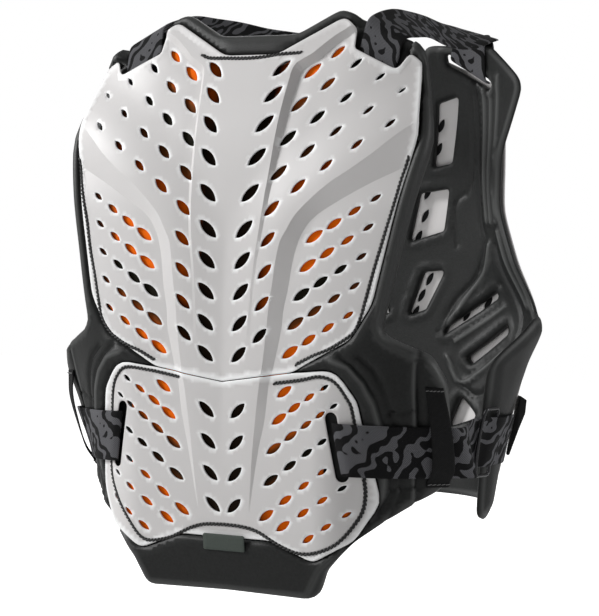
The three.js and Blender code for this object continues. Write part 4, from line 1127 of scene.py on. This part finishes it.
# The outer face: thin at the rim, with a rounded lobe on each wing
def chestOuter(points):
    away = distanceTo(points, chestOutline)
    aside = (np.abs(points[:, 0]) - chestLobe["s"]) / chestLobe["half"]
    above = (points[:, 1] - chestLobe["z"]) / chestLobe["tall"]
    lobe = chestLobe["rise"] * np.exp(-aside ** 2 - above ** 2)
    return chest["foam"] - chest["rimThinner"] * (1 - ease(away / chest["rimFade"])) + lobe


# Painted highlight on the chest pad: lighter along its rim and its raised ribs
def chestHighlight(points):
    mirrored = onRightHalf(points)
    away = distanceTo(points, chestOutline)
    wear = chest["rimHighlight"] * np.exp(-((away - chest["rimHighlightAt"]) / chest["rimHighlightHalf"]) ** 2)
    for row in chestRelief:
        if row["rise"] > 0:
            line = smoothLine(row["line"], 5)
            wear = np.maximum(wear, grooveAlong(mirrored, line, 0.8 * row["width"], chest["lineHighlight"]))
    return wear


chestOutline = outlineOf(chestPadRim, 3.2)
chestLines = clearStretches(chestRelief, chestOutline, chest["lineMargin"], windowLoops)
chestCuts = [(loop, windowEdge) for loop in windowLoops]
chestPad = piercedSlab("chestPad", chestOutline, foamEdge, (), lipRows, chest["spacing"], chestTop,
                       chestOuter, onChest, foamBlack, chestLines, chestCuts, marks={"ridge": chestHighlight})
hand(chestPad, "chest_pad")

chestHoleSpots = [(43, 173), (38, 151), (30, 131), (24, 110), (21, 88), (14, 68), (27, 28), (19, 12),
                  (13, -4), (89, 7), (68, -5), (58, -93)]
chestHoles = holesOf([{"count": 1, "start": at, "end": at, "bow": (0, 0), "long": (14, 14), "tilt": 60}
                      for at in chestHoleSpots])
chestShell = piercedSlab("chestShell", outlineOf(chestShellRim, 4), shellEdge, chestHoles, lipRows, 8,
                         lambda p: np.full(len(p), chest["shellNear"]),
                         lambda p: np.full(len(p), chest["shellFar"]),
                         onChest, shellWhite)
hand(chestShell, "chest_shell")


# Dark plugs just behind the chest shell's holes: painted shade seen through them
def holeShadePlugs(name, holes, depth, thick):
    points, faces = [], []
    for ring in eyeRings(holes, 1.02):
        for w in (depth, depth + thick):
            start = len(points)
            points += [*onChest(ring[:, 0], w, ring[:, 1])]
            faces.append(tuple(range(start, start + len(ring))))
        size = len(ring)
        faces += [(start + j, start + (j + 1) % size, start - size + (j + 1) % size, start - size + j)
                  for j in range(size)]
    piece = makeMesh(name, inPlace(points), faces, webbingPlain, smooth=False)
    turnOutwards(piece)
    return piece


hand(holeShadePlugs("chestHoleCloth", chestHoles, chest["shellNear"] + 1.0, 0.8))
print("chest", len(chestPad.data.polygons), len(chestShell.data.polygons))


def shareOf(first, last, t, start, end):
    return first * (end - t) / (end - start) + last * (t - start) / (end - start)


# A smooth run of rows of points through the given rows
def smoothRows(rows, count):
    rows = np.asarray(rows, float)
    padded = np.concatenate([2 * rows[:1] - rows[1:2], rows, 2 * rows[-1:] - rows[-2:-1]])
    chords = np.linalg.norm(np.diff(padded.mean(1), axis=0), axis=1) ** 0.5
    knots = np.concatenate([[0], np.cumsum(np.maximum(chords, 1e-6))])
    at = np.linspace(knots[1], knots[-2], count)
    at[-1] = knots[-2] - 1e-9
    result = []
    for t in at:
        i = int(np.clip(np.searchsorted(knots, t, side="right") - 1, 1, len(rows) - 1))
        k, p = knots[i - 1:i + 3], padded[i - 1:i + 3]
        a = [shareOf(p[j], p[j + 1], t, k[j], k[j + 1]) for j in range(3)]
        b = [shareOf(a[j], a[j + 1], t, k[j], k[j + 2]) for j in range(2)]
        result.append(shareOf(b[0], b[1], t, k[1], k[2]))
    return np.array(result)


# A flat strap along rows of points, thin, with rounded edges; UV in millimetres
def strapPiece(name, rows, wall, material, side):
    rows = np.array(rows, float)
    rows[..., 0] *= side
    count, across = rows.shape[:2]
    along = np.gradient(rows.mean(1), axis=0)
    span = rows[:, -1] - rows[:, 0]
    out = np.cross(along, span)
    out /= np.linalg.norm(out, axis=1, keepdims=True)
    length = np.concatenate([[0], np.cumsum(np.linalg.norm(np.diff(rows.mean(1), axis=0), axis=1))])
    width = np.linalg.norm(span, axis=1)
    lanes = np.array([0, 0.02, 0.06, 0.15, 0.3, 0.5, 0.7, 0.85, 0.94, 0.98, 1])
    thick = wall / 2 * np.array([0.25, 0.7, 0.95, 1, 1, 1, 1, 1, 0.95, 0.7, 0.25])
    given = np.linspace(0, 1, across)
    points, uv = [], []
    for i in range(count):
        middle = np.stack([np.interp(lanes, given, rows[i, :, k]) for k in range(3)], -1)
        points += [*(middle + out[i] * thick[:, None]), *(middle - out[i] * thick[:, None])[::-1]]
        uv += [(length[i], lane * width[i]) for lane in (*lanes, *lanes[::-1])]
    size = 2 * len(lanes)
    faces = [(i * size + j, i * size + (j + 1) % size, (i + 1) * size + (j + 1) % size, (i + 1) * size + j)
             for i in range(count - 1) for j in range(size)]
    half = len(lanes)
    for base in (0, (count - 1) * size):
        faces += [(base + j, base + j + 1, base + size - 2 - j, base + size - 1 - j) for j in range(half - 1)]
    piece = makeMesh(name, inPlace(points), faces, material, uv=np.array(uv))
    tidyMesh(piece, merge=1e-6)
    return piece


straps = {"wall": 1.8, "width": 44, "level": -114, "slotDrop": 56, "slotRun": 10}


def sideStrapRows():
    lift = -pad["rim"] - pad["bulge"] - 2.2
    onFoam = chest["foam"] + 2.6
    overRing = onFoam + 6
    stops = [(262, onFoam), (234, onFoam), (227, onFoam + 1.5), (220, overRing - 1), (213, overRing),
             (207, overRing - 0.6), (196, onFoam + 2.4), (186, onFoam), (178, onFoam), (170, onFoam),
             (162, onFoam)]
    fromSlot = [(0, 1.2), (2, -0.3), (5.5, -2.3), (14, -3.6), (23, lift)]
    levels = [straps["level"] + straps["width"] / 2, straps["level"], straps["level"] - straps["width"] / 2]
    rows = []
    for z in levels:
        slotX = sideSlot["top"][0] + (sideSlot["top"][1] - z) / straps["slotDrop"] * straps["slotRun"]
        rows.append([*[onBack(slotX + out, w, z) for out, w in fromSlot],
                     *[onBack(x, lift, z) for x in (141, 150, 160, 170, 180, 189)],
                     *[onChest(s, w, z) for s, w in stops]])
    return smoothRows(np.swapaxes(np.array(rows), 0, 1), 90)


shoulderRoute = [(-52, (100, 254), (140, 232)), (-24, (100, 260), (137, 234)), (10, (99, 261), (134, 231)),
                 (45, (95, 261), (130, 231)), (85, (90, 259), (127, 235)), (118, (86, 259), (125, 243)),
                 (139, (82, 259), (123, 247.5))]


def shoulderRows():
    behind = shell["wall"] + 1.4
    ends = [(99.4, 220.4), (135.6, 202.6)]
    climb = [(-7, behind), (1.5, behind), (12, behind - 1), (26, behind - 1)]
    low = [[onBack(x + 0.1 * up, w, z + up) for x, z in ends] for up, w in climb]
    free = [[(inner[0], y, inner[1]), (outer[0], y, outer[1])] for y, inner, outer in shoulderRoute]
    return smoothRows(np.array([*low, *free]), 70)


def loopRows():
    inside, outside, middle = -1.4, chest["foam"] + 2.2, chest["foam"] / 2
    slotLine, topLine = [(68, 232), (86, 221), (104, 210)], [(74, 247.5), (90, 247), (109, 245.5)]
    rows = [(0, middle), (0, 1), (0.1, inside), (0.5, inside), (0.95, inside), (1.12, 1), (1.2, middle),
            (1.12, chest["foam"] - 0.5), (0.95, outside), (0.5, outside), (0.12, outside)]
    lines = list(zip(slotLine, topLine))
    placed = [[onChest(a[0] + (b[0] - a[0]) * q, w, a[1] + (b[1] - a[1]) * q) for a, b in lines]
              for q, w in rows]
    return smoothRows(np.array(placed), 48)


# Height, place across and share of the stand-off, from the keeper's upper end to its lower
keeper = {"width": 12, "wall": 1.4, "stand": 8,
          "route": [(-59, 180, -0.12), (-64, 179.5, 0.1), (-78, 178, 0.7), (-104, 175, 0.9), (-128, 172, 0.7),
                    (-139, 170, 0.12), (-144, 169.5, -0.1)]}


def keeperRows():
    seat = -pad["rim"] - pad["bulge"] - 1.2
    half = keeper["width"] / 2
    rows = [[onBack(x + side * half, seat - share * keeper["stand"], z) for side in (-1, 1)]
            for z, x, share in keeper["route"]]
    return smoothRows(np.array(rows), 40)


# Light stitches that hold the two ends of each keeper
keeperStitch = {"length": 2.2, "radius": 0.42, "slant": 0.3, "spacing": 2.1, "lift": 0.35}


def keeperTop(points):
    return np.full(len(points), -pad["rim"] - pad["bulge"] - 2.0)


keeperEnds = [[(175, -61), (184.5, -61)], [(165, -141.5), (174.5, -141.5)]]
keeperLines = [evenly(np.array([(x * side, z) for x, z in ends]), 1.0, closed=False)
               for ends in keeperEnds for side in (1, -1)]
stitchPiece("keeperStitches", keeperLines, keeperStitch, keeperTop, onBack, threadGrey)


# A round wire along a closed loop of placed points
def wirePiece(name, loop, radius, material, around=10):
    loop = np.asarray(loop, float)
    along = np.roll(loop, -1, 0) - np.roll(loop, 1, 0)
    along /= np.linalg.norm(along, axis=1, keepdims=True)
    side = np.cross(along, [1.0, 0, 0])
    side /= np.linalg.norm(side, axis=1, keepdims=True)
    other = np.cross(along, side)
    turn = np.linspace(0, 2 * math.pi, around, endpoint=False)
    points = (loop[:, None] + radius * (side[:, None] * np.cos(turn)[None, :, None]
                                        + other[:, None] * np.sin(turn)[None, :, None])).reshape(-1, 3)
    count = len(loop)
    faces = [(i * around + j, i * around + (j + 1) % around, ((i + 1) % count) * around + (j + 1) % around,
              ((i + 1) % count) * around + j) for i in range(count) for j in range(around)]
    piece = makeMesh(name, inPlace(points), faces, material)
    tidyMesh(piece, merge=1e-7)
    return piece


ring = {"start": 211, "end": 238, "height": 60, "slant": 12, "corner": 5, "wire": 1.6, "off": 5.4}
hook = {"start": 140, "width": 14, "off": 4.2, "bevel": 0.0008,
        "profile": [(0, -76), (7.2, -80), (9, -92), (6.3, -108), (2.5, -130), (0, -130)]}


def ringLoop():
    half = ring["height"] / 2
    corners = [(ring["start"], half), (ring["end"], half), (ring["end"], -half), (ring["start"], -half)]
    flat = roundedLoop(corners, ring["corner"], 1.5)
    lean = ring["slant"] * flat[:, 1] / half
    return onChest(flat[:, 0] + lean, chest["foam"] + ring["off"], flat[:, 1] + straps["level"])


def hookPiece(name, side):
    face = chest["foam"] + hook["off"]
    ends = (hook["start"], hook["start"] + hook["width"])
    points = np.array([onChest(s, face + w, z) for s in ends for w, z in hook["profile"]])
    size = len(hook["profile"])
    faces = [tuple(range(size)), tuple(range(2 * size - 1, size - 1, -1))]
    faces += [(j, (j + 1) % size, size + (j + 1) % size, size + j) for j in range(size)]
    piece = makeMesh(name, inPlace(points * [side, 1, 1]), faces, plasticBlack, smooth=False)
    turnOutwards(piece, hook["bevel"])
    return piece


for sideName, side in (("right", 1), ("left", -1)):
    hand(strapPiece(f"sideStrap_{sideName}", sideStrapRows(), straps["wall"], webbingBlack, side),
         f"side_strap_{sideName}")
    hand(strapPiece(f"strapKeeper_{sideName}", keeperRows(), keeper["wall"], webbingPlain, side),
         f"strap_keeper_{sideName}")
    hand(strapPiece(f"shoulderStrap_{sideName}", shoulderRows(), straps["wall"], webbingBlack, side),
         f"shoulder_strap_{sideName}")
    hand(strapPiece(f"chestLoop_{sideName}", loopRows(), straps["wall"], webbingBlack, side),
         f"chest_loop_{sideName}")
    hand(wirePiece(f"sideRing_{sideName}", ringLoop() * [side, 1, 1], ring["wire"], wireBlack),
         f"side_ring_{sideName}")
    hand(hookPiece(f"sideHook_{sideName}", side), f"side_hook_{sideName}")

tagLabel = {"left": -18.5, "right": 22.5, "top": -191, "foot": -205, "off": 0.6, "wall": 1.0}
tagEdge = [(0.6, 0), (0.1, 0.2), (0, 0.5), (0.1, 0.8), (0.6, 1)]
tagCorners = [(tagLabel[x], tagLabel[z]) for x, z in (("left", "top"), ("right", "top"), ("right", "foot"),
                                                      ("left", "foot"))]
tagBack = -pad["rim"] - pad["bulge"] - tagLabel["off"]
tag = piercedSlab("tag", roundedLoop(tagCorners, 1, 2), tagEdge, (), lipRows, 3,
                  lambda p: np.full(len(p), tagBack - tagLabel["wall"]),
                  lambda p: np.full(len(p), tagBack), onBack, labelCloth)
hand(tag, "tag")
print("straps and fittings")

# Stage, camera and light
stageSizes = {"floor": -0.60, "reach": 6.0}
floorMesh = bpy.data.meshes.new("floor")
farOff = stageSizes["reach"]
corners = [(-farOff, -farOff), (farOff, -farOff), (farOff, farOff), (-farOff, farOff)]
floorMesh.from_pydata([(x, y, stageSizes["floor"]) for x, y in corners], [], [(0, 1, 2, 3)])
floor = bpy.data.objects.new("floor", floorMesh)
bpy.context.scene.collection.objects.link(floor)
floorPaint, floorTree, floorShader = newMaterial("floorPale")
floorShader.inputs["Base Color"].default_value = (0.8, 0.8, 0.8, 1)
floorShader.inputs["Roughness"].default_value = 0.9
floorShader.inputs["Specular IOR Level"].default_value = 0
floorSight = addNode(floorTree, "ShaderNodeLightPath")
floorTree.links.new(floorSight.outputs["Is Camera Ray"], floorShader.inputs["Emission Strength"])
floorShader.inputs["Emission Color"].default_value = (1, 1, 1, 1)
floorMesh.materials.append(floorPaint)

view = {"turn": 30.0, "lift": 0.93, "roll": 1.32, "away": 2.190, "target": (0, 0, -0.258), "lens": 143.8}
turn, lift, roll = (math.radians(view[key]) for key in ("turn", "lift", "roll"))
behind = Vector((math.sin(turn) * math.cos(lift), -math.cos(turn) * math.cos(lift), math.sin(lift)))
across = (-behind).cross(Vector((0, 0, 1))).normalized()
upright = across.cross(-behind)
rolledAcross = across * math.cos(roll) + upright * math.sin(roll)
rolledUp = upright * math.cos(roll) - across * math.sin(roll)
camera = bpy.data.objects.new("camera", bpy.data.cameras.new("camera"))
bpy.context.scene.collection.objects.link(camera)
spot = Vector(view["target"]) + behind * view["away"]
rows = [[rolledAcross[i], rolledUp[i], behind[i], spot[i]] for i in range(3)]
camera.matrix_world = Matrix([*rows, [0, 0, 0, 1]])
camera.data.lens = view["lens"]
camera.data.sensor_width = 36
bpy.context.scene.camera = camera

lights = [
    {"name": "key", "at": (-2.6, -1.5, 1.3), "to": (0, 0, -0.258), "size": 0.7, "power": 99},
    {"name": "front", "at": (0.4, -2.8, 0.5), "to": (0, 0, -0.258), "size": 1.6, "power": 6.5},
    {"name": "side", "at": (2.3, 1.3, 0.5), "to": (0, 0, -0.258), "size": 1.4, "power": 27},
    {"name": "rim", "at": (-1.4, 2.0, 1.2), "to": (0, 0, -0.258), "size": 1.4, "power": 12},
    {"name": "hollow", "at": (0.06, -0.02, -0.22), "to": (0.06, 0.3, -0.22), "size": 0.22, "power": 0.24},
]
for row in lights:
    lamp = bpy.data.objects.new(row["name"], bpy.data.lights.new(row["name"], "AREA"))
    lamp.data.size = row["size"]
    lamp.data.energy = row["power"]
    lamp.location = row["at"]
    lamp.rotation_euler = (Vector(row["to"]) - Vector(row["at"])).to_track_quat("-Z", "Y").to_euler()
    lamp.visible_camera = False
    bpy.context.scene.collection.objects.link(lamp)
studio = {"light": 0.18, "seen": 1.0}
world = bpy.data.worlds.new("studio")
world.use_nodes = True
sky = world.node_tree.nodes["Background"]
sky.inputs["Color"].default_value = (1, 1, 1, 1)
sight = addNode(world.node_tree, "ShaderNodeLightPath")
seen = addNode(world.node_tree, "ShaderNodeMapRange")
seen.inputs["To Min"].default_value = studio["light"]
seen.inputs["To Max"].default_value = studio["seen"]
world.node_tree.links.new(sight.outputs["Is Camera Ray"], seen.inputs["Value"])
world.node_tree.links.new(seen.outputs["Result"], sky.inputs["Strength"])
bpy.context.scene.world = world
bpy.context.scene.view_settings.view_transform = "Standard"
